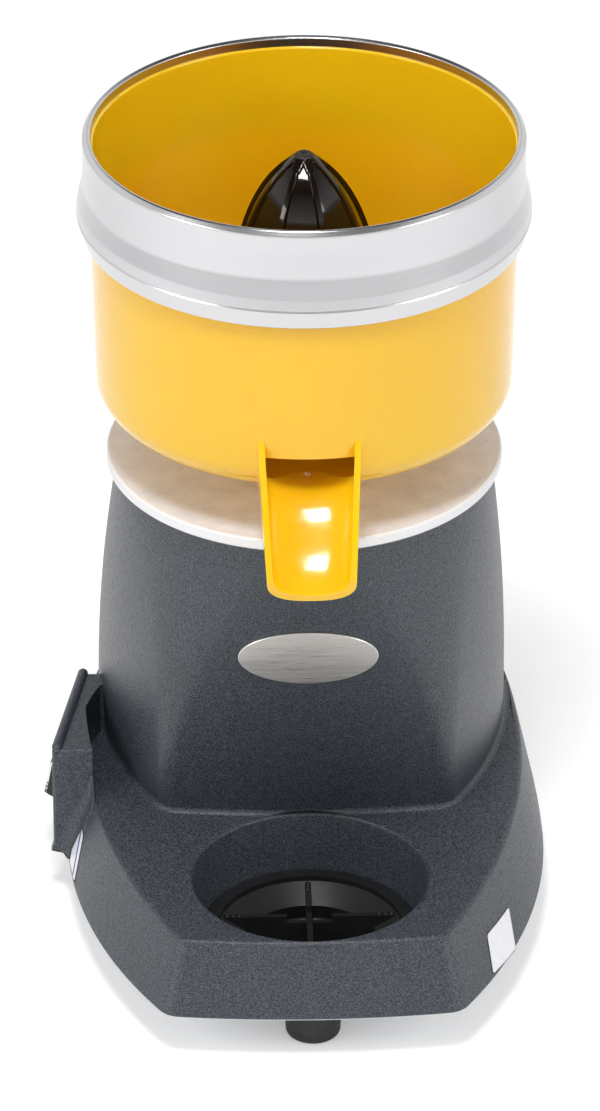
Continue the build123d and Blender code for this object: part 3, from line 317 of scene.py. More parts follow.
def dressed(obj, body, finish, nodes=(), angle=32.0, bevel=0.0):
    """Shade a piece, give it its finish, tie it to its body and hide the nodes it stands for."""
    obj.data.materials.clear()
    obj.data.materials.append(finish)
    if bevel:
        edge = obj.modifiers.new("edges", "BEVEL")
        edge.width = bevel * MM
        edge.segments = 2
        edge.limit_method = "ANGLE"
        edge.angle_limit = math.radians(angle)
        edge.miter_outer = "MITER_ARC"
        applied(obj)
    mesh = obj.data
    mesh.polygons.foreach_set("use_smooth", np.ones(len(mesh.polygons), bool))
    mesh.set_sharp_from_angle(angle=math.radians(angle))
    even = obj.modifiers.new("shading", "WEIGHTED_NORMAL")
    even.keep_sharp = True
    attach(obj, body)
    if nodes:
        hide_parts(*nodes)
    return obj


def stand_in(obj, node, angle=32.0, bevel=0.0):
    """Dress a piece that takes a packed node's place, with that node's body, slot and finish."""
    return dressed(obj, BODIES[node], FINISHES[SLOTS[node]], [node], angle, bevel)


def smooth_copy(node, flatten=0.4):
    """Copy of a packed node with its doubled points merged.

    Triangles that lie within `flatten` degrees of each other become one face.
    """
    mesh = NODES[node].data.copy()
    custom = mesh.attributes.get("custom_normal")
    if custom:
        mesh.attributes.remove(custom)
    obj = bpy.data.objects.new(node + "_shell", mesh)
    bpy.context.scene.collection.objects.link(obj)
    bm = bmesh.new()
    bm.from_mesh(mesh)
    bmesh.ops.remove_doubles(bm, verts=bm.verts, dist=2e-6)
    bmesh.ops.dissolve_limit(bm, angle_limit=math.radians(flatten), verts=bm.verts, edges=bm.edges)
    bm.to_mesh(mesh)
    bm.free()
    return obj


# ================================================================ finishes
class Wiring:
    """A node tree with short calls for its nodes."""

    def __init__(self, tree):
        self.tree = tree

    def add(self, kind, **values):
        """New node; each value goes to the node's own setting or to its input of that name."""
        node = self.tree.nodes.new(kind)
        for key, value in values.items():
            if hasattr(node, key):
                setattr(node, key, value)
            else:
                node.inputs[key.replace("_", " ")].default_value = value
        return node

    def put(self, socket, value):
        """Link a node's output to an input, or set the input to a plain value."""
        if isinstance(value, bpy.types.NodeSocket):
            self.tree.links.new(value, socket)
        else:
            socket.default_value = value

    def math(self, operation, *values):
        node = self.add("ShaderNodeMath", operation=operation)
        for socket, value in zip(node.inputs, values):
            self.put(socket, value)
        return node.outputs[0]

    def blended(self, factor, a, b):
        """Number between two others by a factor."""
        node = self.add("ShaderNodeMix")
        for key, value in (("Factor", factor), ("A", a), ("B", b)):
            self.put(node.inputs[key], value)
        return node.outputs["Result"]

    def ranged(self, value, low, high, start=0.3, stop=0.7):
        """Value between start and stop mapped to low and high."""
        node = self.add("ShaderNodeMapRange", From_Min=start, From_Max=stop, To_Min=low, To_Max=high)
        self.put(node.inputs["Value"], value)
        return node.outputs["Result"]


class Recipe(Wiring):
    """A material under construction."""

    def __init__(self, name, colour, roughness, metallic=0.0):
        self.material = bpy.data.materials.new(name)
        self.material.use_nodes = True
        super().__init__(self.material.node_tree)
        self.shader = self.tree.nodes["Principled BSDF"]
        self.set(**{"Base Color": (*colour, 1.0), "Roughness": roughness, "Metallic": metallic})
        self.place = self.add("ShaderNodeTexCoord").outputs["Object"]

    def set(self, **values):
        """Set the shader's inputs, or link them to a node's output."""
        for key, value in values.items():
            self.put(self.shader.inputs[key], value)

    def stretched(self, x, y, z):
        """Object coordinates scaled by axis, for grain that runs one way."""
        node = self.add("ShaderNodeMapping", Scale=(x, y, z))
        self.put(node.inputs["Vector"], self.place)
        return node.outputs["Vector"]

    def noise(self, scale, detail=2.0, roughness=0.5, vector=None):
        """Noise from 0 to 1; scale is in waves per metre."""
        node = self.add("ShaderNodeTexNoise", Scale=scale, Detail=detail, Roughness=roughness)
        self.put(node.inputs["Vector"], vector or self.place)
        return node.outputs["Fac"]

    def rough(self, value, low, high):
        """Roughness that follows a value."""
        self.set(Roughness=self.ranged(value, low, high))

    def mixed(self, factor, a, b):
        """Colour between two others by a factor."""
        node = self.add("ShaderNodeMix", data_type="RGBA")
        self.put(node.inputs["Factor"], factor)
        for socket, value in ((node.inputs[6], a), (node.inputs[7], b)):
            self.put(socket, (*value, 1.0) if isinstance(value, tuple) else value)
        return node.outputs[2]

    def tinted(self, value, a, b, start=0.3, stop=0.7):
        """Base colour that follows a value from one colour to another."""
        colour = self.mixed(self.ranged(value, 0.0, 1.0, start, stop), a, b)
        self.set(**{"Base Color": colour})

    def bump(self, height, depth, strength=1.0):
        """Surface relief; depth is in metres."""
        node = self.add("ShaderNodeBump", Strength=strength, Distance=depth)
        self.put(node.inputs["Height"], height)
        self.set(Normal=node.outputs["Normal"])

    def radius(self):
        """Distance from the machine's axis, in metres."""
        flat = self.add("ShaderNodeMapping", Location=-SHAFT, Scale=(1.0, 1.0, 0.0))
        self.put(flat.inputs["Vector"], self.place)
        length = self.add("ShaderNodeVectorMath", operation="LENGTH")
        self.put(length.inputs[0], flat.outputs["Vector"])
        return length.outputs["Value"]


def toned(colour, factor):
    """A colour made lighter or darker."""
    return tuple(min(c * factor, 1.0) for c in colour)


def textured_paint(colour, speckle):
    """Dark powder coat: fine sandy relief with lighter and darker grains."""
    r = Recipe("textured_paint", colour, 0.4)
    grain = r.noise(1.0 / speckle, 2.0, 0.6)
    broad = r.noise(1.0 / (speckle * 2.6), 2.0)
    r.tinted(grain, toned(colour, 0.35), toned(colour, 2.6), 0.38, 0.68)
    r.rough(broad, 0.34, 0.46)
    r.bump(r.math("ADD", grain, broad), 0.0002, 0.8)
    return r.material


def tumbled_aluminium():
    """Bare disc: cloudy grey with fine scratches, a painted blue tint against the bowl's orange bounce light, and
    a lighter neutral band at its edge.
    """
    r = Recipe("tumbled_aluminium", (0.8, 0.8, 0.8), 0.5, 0.1)
    cloud = r.noise(70.0, 5.0, 0.62)
    fine = r.noise(650.0, 3.0, 0.6)
    both = r.math("MULTIPLY_ADD", fine, 0.45, cloud)
    # Neutral grey band round the disc's outer edge, lighter than most of the mottle.
    edge_band = r.ranged(r.radius(), 0.0, 1.0, 0.0795, 0.0828)
    # The mottle's blue tint is painted: it offsets the orange light that the bowl bounces onto the disc.
    mottled = r.mixed(r.ranged(both, 0.0, 1.0, 0.5, 0.95), (0.68, 0.71, 0.78), (0.86, 0.89, 0.96))
    r.set(**{"Base Color": r.mixed(edge_band, mottled, (0.80, 0.80, 0.81))})
    r.rough(cloud, 0.58, 0.42)
    r.bump(fine, 0.00008, 0.4)
    return r.material


def grained_metal(name, colour, roughness, grain, spread, dull, depth, strength):
    """Metal with a fine grain, given in waves per metre along each axis.

    The roughness varies by `spread` below and above its middle, and the colour down to a
    share `dull` of itself.
    """
    r = Recipe(name, colour, roughness, 1.0)
    lines = r.noise(1.0, 4.0, 0.7, r.stretched(*grain))
    r.rough(lines, roughness - spread[0], roughness + spread[1])
    r.tinted(lines, toned(colour, dull), colour)
    r.bump(lines, depth, strength)
    return r.material


def spun_metal(name, colour, roughness):
    """Satin metal whose fine grain runs round the axis."""
    return grained_metal(name, colour, roughness, (12.0, 12.0, 2600.0), (0.03, 0.03), 0.96, 0.000006, 0.3)


def brushed_metal(name, colour, roughness, grain=(40.0, 2600.0, 2600.0)):
    """Sheet metal brushed one way."""
    return grained_metal(name, colour, roughness, grain, (0.08, 0.1), 0.82, 0.00003, 0.4)


def juice_plastic(colour):
    """Glossy food plastic that lets a little light through."""
    r = Recipe("juice_plastic", colour, 0.16)
    r.set(**{"Subsurface Weight": 0.5, "Subsurface Scale": 0.008, "Subsurface Radius": (1.0, 0.55, 0.05),
             "Coat Weight": 0.3, "Coat Roughness": 0.03})
    r.tinted(r.noise(14.0, 2.0), (colour[0] * 0.98, colour[1] * 0.94, colour[2] * 0.8), colour)
    r.rough(r.noise(240.0, 3.0), 0.12, 0.19)
    r.bump(r.noise(60.0, 1.0), 0.0004, 0.03)
    return r.material


def smoked_plastic():
    """Almost black glossy plastic, smoke-brown in depth, rough where it was cut from its sprue."""
    r = Recipe("smoked_plastic", (0.004, 0.002, 0.001), 0.07)
    r.tinted(r.noise(60.0, 2.0), (0.003, 0.0016, 0.001), (0.010, 0.005, 0.0025))
    sprue = r.ranged(r.radius(), 1.0, 0.0, 0.0032, 0.0044)
    smooth = r.ranged(r.noise(300.0, 3.0), 0.04, 0.09)
    r.set(Roughness=r.math("MAXIMUM", smooth, r.math("MULTIPLY", sprue, 0.4)))
    r.bump(r.math("MULTIPLY", r.noise(1400.0, 4.0, 0.7), sprue), 0.0009, 0.8)
    return r.material


def moulded(name, colour, roughness, grain=1500.0, depth=0.00006):
    """Moulded plastic or rubber with a fine even texture."""
    r = Recipe(name, colour, roughness)
    fine = r.noise(grain, 3.0, 0.6)
    r.tinted(r.noise(90.0, 3.0), toned(colour, 0.8), toned(colour, 1.25))
    r.rough(fine, roughness - 0.06, roughness + 0.08)
    r.bump(fine, depth, 0.5)
    return r.material


def laminations():
    """Stacked electrical sheets: fine level lines, lightly oiled."""
    r = Recipe("laminations", (0.16, 0.16, 0.17), 0.45, 0.8)
    lines = r.noise(1.0, 1.0, 0.5, r.stretched(0.0, 0.0, 2000.0))
    r.tinted(lines, (0.06, 0.06, 0.07), (0.24, 0.24, 0.25))
    r.bump(lines, 0.0002, 0.8)
    return r.material


def wound_copper():
    """Varnished wire: crossing fine strands."""
    r = Recipe("wound_copper", (0.5, 0.2, 0.08), 0.35, 0.9)
    wave = r.add("ShaderNodeTexWave", Scale=420.0, Distortion=3.0)
    r.put(wave.inputs["Vector"], r.place)
    strands = wave.outputs["Fac"]
    r.set(**{"Base Color": r.mixed(strands, (0.22, 0.07, 0.03), (0.62, 0.27, 0.11))})
    r.bump(strands, 0.0003, 0.8)
    return r.material


def clear_skin():
    """Soft clear splash skin over the rocker."""
    r = Recipe("clear_skin", (0.93, 0.95, 0.97), 0.06)
    r.set(**{"Transmission Weight": 0.95, "IOR": 1.4})
    r.rough(r.noise(200.0, 2.0), 0.04, 0.1)
    r.bump(r.noise(90.0, 2.0), 0.0001, 0.1)
    return r.material


def label_film(name, colour):
    """Blank film label: satin, slightly mottled where it lies on the paint's grain."""
    r = Recipe(name, colour, 0.35)
    r.set(**{"Coat Weight": 0.3})
    r.tinted(r.noise(900.0, 2.0), toned(colour, 0.9), colour)
    r.bump(r.noise(1100.0, 2.0), 0.00003, 0.4)
    return r.material


FINISHES = {}


def make_finishes(scene):
    """One material for each slot of the record, and two for the labels."""
    body, bowl = scene.juicer_body, scene.juicer_bowl
    FINISHES.update({
        "body_paint": textured_paint(tuple(body.paint), body.speckle),
        "raw_aluminium": tumbled_aluminium(),
        "satin_ring": spun_metal("satin_ring", tuple(scene.juicer_ring.metal), 0.24),
        "steel": brushed_metal("brushed_steel", (0.6, 0.6, 0.6), 0.3),
        "bearing_steel": spun_metal("bearing_steel", (0.66, 0.66, 0.67), 0.12),
        "lamination": laminations(),
        "copper": wound_copper(),
        "zinc_steel": brushed_metal("zinc_plate", (0.55, 0.57, 0.6), 0.36, (500.0, 500.0, 500.0)),
        "badge_steel": brushed_metal("badge_steel", (0.88, 0.85, 0.80), 0.32, (45.0, 45.0, 5200.0)),
        "bowl_plastic": juice_plastic(tuple(bowl.plastic)),
        "cone_plastic": smoked_plastic(),
        "black_plastic": moulded("black_plastic", (0.012, 0.012, 0.013), 0.4),
        "white_plastic": moulded("white_plastic", (0.72, 0.71, 0.67), 0.4),
        "clear_skin": clear_skin(),
        "rubber": moulded("black_rubber", (0.014, 0.014, 0.014), 0.6, 900.0, 0.0001),
        "label": label_film("label_film", (0.80, 0.80, 0.84)),
        "label_band": label_film("label_band", (0.02, 0.05, 0.28)),
    })


# ================================================================ casting
def outline_form(sizes):
    """Front, corner heading and six radii of an outline; sizes may be arrays.

    Along a stretch of radius r, from heading a to heading b, the curve moves by
    r*(sin b - sin a) across and by r*(cos a - cos b) back; the last two radii follow from
    ending at the stated rear, on the middle line.
    """
    heads = [sizes["corner_heading"] if h is None else h for h in HEADINGS]
    s = [np.sin(np.radians(h)) for h in heads]
    c = [np.cos(np.radians(h)) for h in heads]
    front = sizes["front_half"] / s[1]
    corner = sizes["corner_r"]
    side = (sizes["half_width"] - sizes["front_half"] - corner * (s[2] - s[1])) / (s[3] - s[2])
    rear_side = sizes["rear_side_r"]
    across = sizes["half_width"] - rear_side * (s[3] - s[4])
    along = sizes["rear_y"] - sizes["front_y"] - sum(
        r * (c[i] - c[i + 1]) for i, r in enumerate((front, corner, side, rear_side)))
    det = (s[4] - s[5]) * (c[5] + 1.0) - s[5] * (c[4] - c[5])
    rear_corner = (across * (c[5] + 1.0) - s[5] * along) / det
    rear = ((s[4] - s[5]) * along - across * (c[4] - c[5])) / det
    return sizes["front_y"], heads, (front, corner, side, rear_side, rear_corner, rear)


def outline_at(u, form, inset=0.0):
    """Points (x, y) of an outline at u, which counts its stretches from 0 to 12 round.

    x is the sum of r*(sin h - sin a) and y the front plus the sum of r*(cos a - cos h),
    where h grows evenly with u from heading a to the next; the second half mirrors x.
    """
    front_y, heads, radii = form
    half = np.where(u > 6, 12 - u, u)
    x = y = 0.0
    for i, radius in enumerate(radii):
        a, b = np.radians(heads[i]), np.radians(heads[i + 1])
        h = a + (b - a) * np.clip(half - i, 0, 1)
        x = x + (radius - inset) * (np.sin(h) - np.sin(a))
        y = y + (radius - inset) * (np.cos(a) - np.cos(h))
    return np.stack(np.broadcast_arrays(np.where(u > 6, -x, x), front_y + inset + y), -1)


def outward(u, form):
    """Unit outward normal (x, y) of an outline at u."""
    heads = form[1]
    half = np.where(u > 6, 12 - u, u)
    h = np.interp(half, np.arange(7), np.radians([float(np.mean(v)) for v in heads]))
    return np.stack([np.where(u > 6, -np.sin(h), np.sin(h)), -np.cos(h)], -1)


def base_form(z):
    """Base outline at heights z: straight between the lower edge and the deck."""
    share = (z - BASE_BOTTOM) / (BASE_TOP - BASE_BOTTOM)
    return outline_form({k: low + (DECK_OUTLINE[k] - low) * share for k, low in FOOT_OUTLINE.items()})


def column_form(z):
    """Column outline at heights z: the front leans evenly and the rest swells from a circle.

    The share of the foot's outline is 1 - (1 - d**1.12)**2.2, with d counted from 0 at
    the head to 1 at the deck.
    """
    front_y, heads, radii = outline_form(COLUMN_OUTLINE)
    down = (COLUMN_TOP - z) / (COLUMN_TOP - BASE_TOP)
    share = 1.0 - (1.0 - np.clip(down, 0, 1) ** 1.12) ** 2.2
    lean = -COLUMN_R + (front_y + COLUMN_R) * down
    return lean, heads, tuple(COLUMN_R + (r - COLUMN_R) * share for r in radii)


def circle_form(radius):
    """Circle as an outline."""
    return -radius, [60.0 if h is None else h for h in HEADINGS], (radius,) * 6


def casting_grid(edge_r, foot_r):
    """Rows of the casting's closed section, from its inner lower edge over the outside
    and through the head's bore back down the inside."""
    counts = (10, 14, 26, 6, 26, 8)
    half = np.concatenate([i + np.arange(n) / n for i, n in enumerate(counts)])
    u = np.concatenate([half, [6.0], 12 - half[:0:-1]])

    def level(form, z, inset=0.0):
        return at_height(outline_at(u, form(z), inset), z)

    lower, upper = level(base_form, BASE_BOTTOM), level(base_form, BASE_TOP)
    down = unit(lower - upper)
    inward = at_height(-outward(u, base_form(BASE_TOP)), 0.0)
    share = np.linspace(0, 1, 9)[:, None, None]
    edge = arc_between(upper, down, inward, edge_r, share)
    lip = arc_between(lower, inward, -down, LIP_R, share[::2])
    gap = np.linalg.norm(outline_at(u, column_form(BASE_TOP)) - upper[:, :2], axis=1)
    fillet = np.clip(gap - edge_r - 0.3, 0.2, foot_r)
    turn = np.linspace(np.pi / 2, 0, 9)[:, None]
    rise = fillet * (1 - np.sin(turn))
    foot = level(column_form, BASE_TOP + rise, -fillet * (1 - np.cos(turn)))
    between = np.linspace(0.1, 0.9, 7)[:, None, None]
    wall = lip[-1] + (edge[0] - lip[-1]) * between
    deck = edge[-1] + (foot[0] - edge[-1]) * between
    up = (COLUMN_TOP - HEAD_EDGE - BASE_TOP - rise[-1]) * np.linspace(0, 1, 64)[1:-1, None]
    column = level(column_form, BASE_TOP + rise[-1] + up)
    drop = np.array([[HEAD_EDGE], [0.25], [0.0]])
    rim = level(column_form, COLUMN_TOP - drop, drop[::-1])
    bore = outline_at(u, circle_form(HEAD_BORE_R))
    bore = np.stack([at_height(bore, z) for z in (COLUMN_TOP, COLUMN_TOP - HEAD_DEPTH)])
    inner = level(column_form, np.linspace(COLUMN_TOP - HEAD_DEPTH, BASE_TOP - WALL, 30)[:, None], WALL)
    skirt = level(base_form, np.linspace(BASE_TOP - WALL, BASE_BOTTOM, 5)[:, None], WALL)
    return np.concatenate([lip, wall, edge, deck, foot, column, rim, bore, inner, skirt])


def panel_axes():
    """Along and outward unit vectors (x, y) of the switch panel's face."""
    run = unit(PANEL_REAR - PANEL_FRONT)
    return run, np.array([-run[1], run[0]])


def panel_outline(inset, corner_r):
    """The switch panel seen from above: a trapezium with rounded outer corners."""
    run, out = panel_axes()
    front, rear = PANEL_FRONT - out * inset + run * inset, PANEL_REAR - out * inset - run * inset
    corners = [front, rear, (PANEL_INNER_X, rear[1]), (PANEL_INNER_X, front[1])]
    return rounded(corners, [corner_r, corner_r, 0.0, 0.0])


def panel_solid(edge_r):
    """Raised panel: its outline carried up, with a rounded upper edge."""
    turn = np.linspace(0, np.pi / 2, 6)
    insets = np.concatenate([[0.0], edge_r * (1 - np.cos(turn))])
    heights = np.concatenate([[BASE_BOTTOM], PANEL_TOP - edge_r * (1 - np.sin(turn))])
    rows = [at_height(panel_outline(k, 1.6 - 0.5 * k), z) for k, z in zip(insets, heights)]
    return surface("panel", np.stack(rows), caps=True)


def panel_bead(radius, inset):
    """Rod with round ends along the panel's outer upper edge.

    A half circle of angle s is swung about the rod's line; its near half sits on one end
    of the line and its far half on the other.
    """
    run, out = panel_axes()
    ends = [end + out * (0.3 - radius) for end in (PANEL_FRONT + run * inset, PANEL_REAR - run * inset)]
    s = np.concatenate([np.linspace(0.02, np.pi / 2, 10), np.linspace(np.pi / 2, np.pi - 0.02, 10)])[:, None]
    angle = np.linspace(0, 2 * np.pi, 40, endpoint=False)
    middle = np.repeat(ends, 10, 0)[:, None]
    away = radius * np.sin(s)
    xy = middle - run * (radius * np.cos(s))[..., None] + out * (away * np.cos(angle))[..., None]
    return surface("bead", at_height(xy, PANEL_TOP + away * np.sin(angle)), caps=True)


def base_wall_x(z, y):
    """Where the base's left wall is, at heights z and one y, on its arc-shaped side."""
    z = np.minimum(z, BASE_TOP)
    front_y, heads, radii = base_form(z)
    c = [np.cos(np.radians(h)) for h in heads]
    widest = front_y + radii[0] * (1 - c[1]) + radii[1] * (c[1] - c[2]) + radii[2] * c[2]
    low, high = FOOT_OUTLINE["half_width"], DECK_OUTLINE["half_width"]
    half_width = low + (high - low) * ((z - BASE_BOTTOM) / (BASE_TOP - BASE_BOTTOM))
    return radii[2] - half_width - np.sqrt(radii[2] ** 2 - (widest - y) ** 2)


def web_solid():
    """Hollow round between the base's wall and the panel's front face; it fades upwards."""
    z = np.linspace(BASE_BOTTOM, WEB_TOP, 24)[:, None]
    radius = np.interp(z, (BASE_BOTTOM, 36.0, 48.0, WEB_TOP), (7.0, 7.0, 4.5, 0.8))
    wall, face = base_wall_x(z, PANEL_FRONT[1]), PANEL_FRONT[1]
    turn = np.linspace(0, np.pi / 2, 12)
    inside, behind = wall + 4.0, face + 4.0 + 0 * wall
    x = np.concatenate([wall - radius + radius * np.sin(turn), inside, inside, wall - radius], 1)
    y = np.concatenate([face - radius + radius * np.cos(turn), face - radius, behind, behind], 1)
    return surface("web", at_height(np.stack([x, y], -1), z), caps=True)


def deck_tool():
    """Upright prism over the deck, which trims the panel to the deck's edge and the column."""
    u = np.linspace(0, 12, 240, endpoint=False)
    tool = prism("deck_tool", outline_at(u, base_form(BASE_TOP)), BASE_TOP - DECK_SINK, CLEAR_Z)
    combine(tool, prism("tie", PANEL_TIE, BASE_BOTTOM, CLEAR_Z + 5.0), "DIFFERENCE")
    return tool


def recess_tool(lip_r):
    """What the glass recess takes out: a shallow cone with a flared, rounded mouth."""
    turn = np.linspace(0, np.pi / 2, 7)
    mouth = np.stack([RECESS_R + lip_r * (1 - np.cos(turn)), BASE_TOP - lip_r + lip_r * np.sin(turn)], 1)
    profile = [(0.0, 15.0), (45.0, 15.0), (45.0, BASE_BOTTOM), *mouth, (48.4, 50.0), (0.0, 50.0)]
    return turned("recess_tool", profile, 160, (0, RECESS_Y))


def recess_cup():
    """Wall round the glass recess."""
    low, high = BASE_BOTTOM + 0.02, BASE_TOP - 1.5
    profile = [(45.5, low), (48.4, low), (52.4, high), (49.0, high)]
    return turned("recess_cup", profile, 160, (0, RECESS_Y), closed=True)


def along_y(name, profile, columns=64):
    """Outline of (radius, distance to the rear) turned about the gland's axis."""
    across, down, back = np.moveaxis(swung(np.asarray(profile, float), columns), -1, 0)
    grid = np.stack([GLAND[0] + across, back, GLAND[1] - down], -1)
    return surface(name, grid, loop_rows=False)


def switch_way(half, depth):
    """Rectangular way into the panel's face for the switch, of a half height and a depth."""
    along, out = (np.array([*axis, 0.0]) for axis in panel_axes())
    middle = np.array([*PANEL_FRONT, SWITCH_PLACE[1]]) + along * SWITCH_PLACE[0]
    outline = rectangle(SWITCH_HALF, half, 0.6)
    ring = middle - out * depth + outline[:, :1] * along + outline[:, 1:] * (0, 0, 1)
    return surface("switch_way", np.stack([ring, ring + out * (depth + 1.0)]), caps=True)


def make_casting(props):
    """Casting with its recess, switch panel, switch way and pad for the cable gland."""
    body = surface("casting", casting_grid(props.deck_round / MM, props.foot_round / MM))
    combine(body, recess_cup(), "UNION")
    combine(body, recess_tool(props.recess_round / MM), "DIFFERENCE")
    panel = panel_solid(PANEL_EDGE)
    combine(panel, web_solid(), "UNION")
    combine(panel, deck_tool(), "DIFFERENCE")
    combine(panel, panel_bead(2.2, 3.2), "UNION")
    combine(body, panel, "UNION")
    for half, depth in SWITCH_STEPS:
        combine(body, switch_way(half, depth), "DIFFERENCE")
    pad = [(0, 126.0), (12.5, 126.0), (12.5, 136.8), (12.2, 137.4), (11.6, 137.6), (0, 137.6)]
    combine(body, along_y("pad", pad), "UNION")
    combine(body, along_y("gland_way", [(0, 118.0), (6.35, 118.0), (6.35, 140.0), (0, 140.0)]), "DIFFERENCE")
    return body


# ================================================================ bowl and spout
def clamped_spline(t, knots, values, start_slope, end_slope):
    """Smooth curve through knots with stated end slopes; its inner slopes make curvature continuous."""
    knots, values = np.asarray(knots, float), np.asarray(values, float)
    h = np.diff(knots)
    secant = np.diff(values) / h
    n = len(knots)
    system, right = np.eye(n), np.zeros(n)
    right[0], right[-1] = start_slope, end_slope
    inner = np.arange(1, n - 1)
    system[inner, inner - 1] = 1 / h[:-1]
    system[inner, inner] = 2 * (1 / h[:-1] + 1 / h[1:])
    system[inner, inner + 1] = 1 / h[1:]
    right[inner] = 3 * (secant[:-1] / h[:-1] + secant[1:] / h[1:])
    slope = np.linalg.solve(system, right)
    i = np.clip(np.searchsorted(knots, t) - 1, 0, n - 2)
    x = (t - knots[i]) / h[i]
    return (values[i] * (1 + 2 * x) * (1 - x) ** 2 + slope[i] * h[i] * x * (1 - x) ** 2
            + values[i + 1] * x ** 2 * (3 - 2 * x) + slope[i + 1] * h[i] * x ** 2 * (x - 1))


def spout_floor(forward):
    """Height of the channel's floor at a distance in front of the shaft."""
    inside = clamped_spline(np.minimum(forward, SPOUT_REACH), (70.0, 90.0, 104.0, SPOUT_REACH),
                            (BOWL_FLOOR, 220.2, 206.3, 197.2), -0.15, -SPOUT_SLOPE)
    return inside - SPOUT_SLOPE * np.maximum(forward - SPOUT_REACH, 0.0)


def spout_edge(forward):
    """Height of the side walls' upper edge at a distance in front of the shaft."""
    return 249.0 - 1.4455 * (forward - SPOUT_ROOT)


def spout_solid(name, inset, reach, drop, top, rise):
    """Filled trough: upright sections, hollow below, along a curved floor.

    Its half width shrinks by 0.0841 for each millimetre forward.  Below its straight sides a
    section follows |x / half|**p + |1 - z / rise|**p = 1 with p = SPOUT_POWER, and near the
    lip the sections lean forward with height.  The curved part stays below the upper edge.
    """
    forward = np.linspace(68.0, reach, 44)[:, None]
    half = 20.9 - inset - 0.0841 * (forward - SPOUT_ROOT)
    low = spout_floor(forward) - drop
    high = np.broadcast_to(top(forward), forward.shape)
    curved = np.minimum(rise, high - low - 0.3)
    turn = np.linspace(-np.pi / 2, np.pi / 2, 31)
    across = np.sign(turn) * np.abs(np.sin(turn)) ** (2 / SPOUT_POWER)
    sunk = np.maximum(np.cos(turn), 0.0) ** (2 / SPOUT_POWER)
    x = np.concatenate([-half, half * across, half], 1)
    z = np.concatenate([high, low + curved * (1 - sunk), high], 1)
    lean = 0.2037 * np.clip((forward - 100.0) / 17.5, 0, 1)
    y = -forward - lean * (z - low - drop)
    return surface(name, np.stack([x, y, z], -1), caps=True)


def bowl_wall_r(z):
    """Outer radius of the gently tapered wall."""
    return 87.0 + 2.3 * (z - 237.0) / 108.0


def make_bowl():
    """Bowl with its seat sleeve, shaft tube and open spout."""
    under, seat, floor = 226.1, BOWL_SEAT, BOWL_FLOOR
    inner_r = bowl_wall_r(floor) - BOWL_WALL
    corners = [(27.35, 208.6), (30.0, 208.6), (30.0, seat), (66.0, under), (bowl_wall_r(under), under),
               (89.3, RIM_Z), (86.9, RIM_Z), (inner_r, floor), (66.0, floor), (30.0, 231.0), (14.0, 231.0),
               (14.0, 246.0), (12.0, 246.0), (12.0, 254.0), (9.5, 254.0), (9.5, seat), (27.35, seat)]
    radii = [0.6, 0.8, 4.0, 3.0, 13.0, 1.1, 0.9, 10.6, 3.0, 4.0, 2.0, 0.8, 0.4, 0.6, 0.5, 0.5, 0.5]
    bowl = turned("bowl", dense(rounded(corners, radii, 9), 8.0), FINE_TURN, closed=True)
    gap = 0.03
    inside = rounded([(0.0, floor), (66.0, floor - gap), (inner_r + gap, floor - gap),
                      (86.9 + gap, RIM_Z + 5), (0.0, RIM_Z + 5)], [0, 3.0, 10.6, 0, 0], 9)
    trough = spout_solid("trough", 0.0, SPOUT_REACH, 3.0, spout_edge, TROUGH_RISE)
    channel = spout_solid("channel", SPOUT_WALL, 126.0, 0.0, lambda f: spout_edge(f) + 9.0, CHANNEL_RISE)
    mouth = spout_solid("mouth", SPOUT_WALL - gap, 93.0, gap, lambda f: 243.6, CHANNEL_RISE)
    combine(trough, channel, "DIFFERENCE")
    combine(trough, turned("inside", inside, FINE_TURN), "DIFFERENCE")
    combine(bowl, mouth, "DIFFERENCE")
    combine(bowl, trough, "UNION")
    if min(v.co.y for v in bowl.data.vertices) > SHAFT[1] - 0.9 * SPOUT_REACH * MM:
        raise RuntimeError("the bowl has lost its spout")
    return bowl


def ring_profile():
    """Closed section of the splash ring: rolled crest, straight neck, creased belly."""
    corners = [(91.7, 306.3), (94.2, 314.4), (93.85, 315.0), (94.2, 315.6), (93.6, 320.0), (91.5, 328.0),
               (91.2, 340.0), (91.4, 347.4), (89.4, 350.0), (87.8, 348.8), (87.8, RIM_Z), (89.9, RIM_Z),
               (89.9, 327.0), (92.2, 319.0), (92.7, 315.0), (90.2, 306.3)]
    return rounded(corners, [0.5, 0.15, 0, 0.3, 6.0, 12.0, 60.0, 1.4, 1.1, 0.8, 0, 0, 5.0, 3.0, 0, 0.5], 12)


# ================================================================ cone
def cone_crest(z):
    """Radius of the ribs' crests at a depth d below the tip: 3 + 22 (1 - exp(-d / 19)) + 0.155 d."""
    d = CONE_TIP - z
    return 3.0 + 22.0 * (1.0 - np.exp(-d / 19.0)) + 0.155 * d


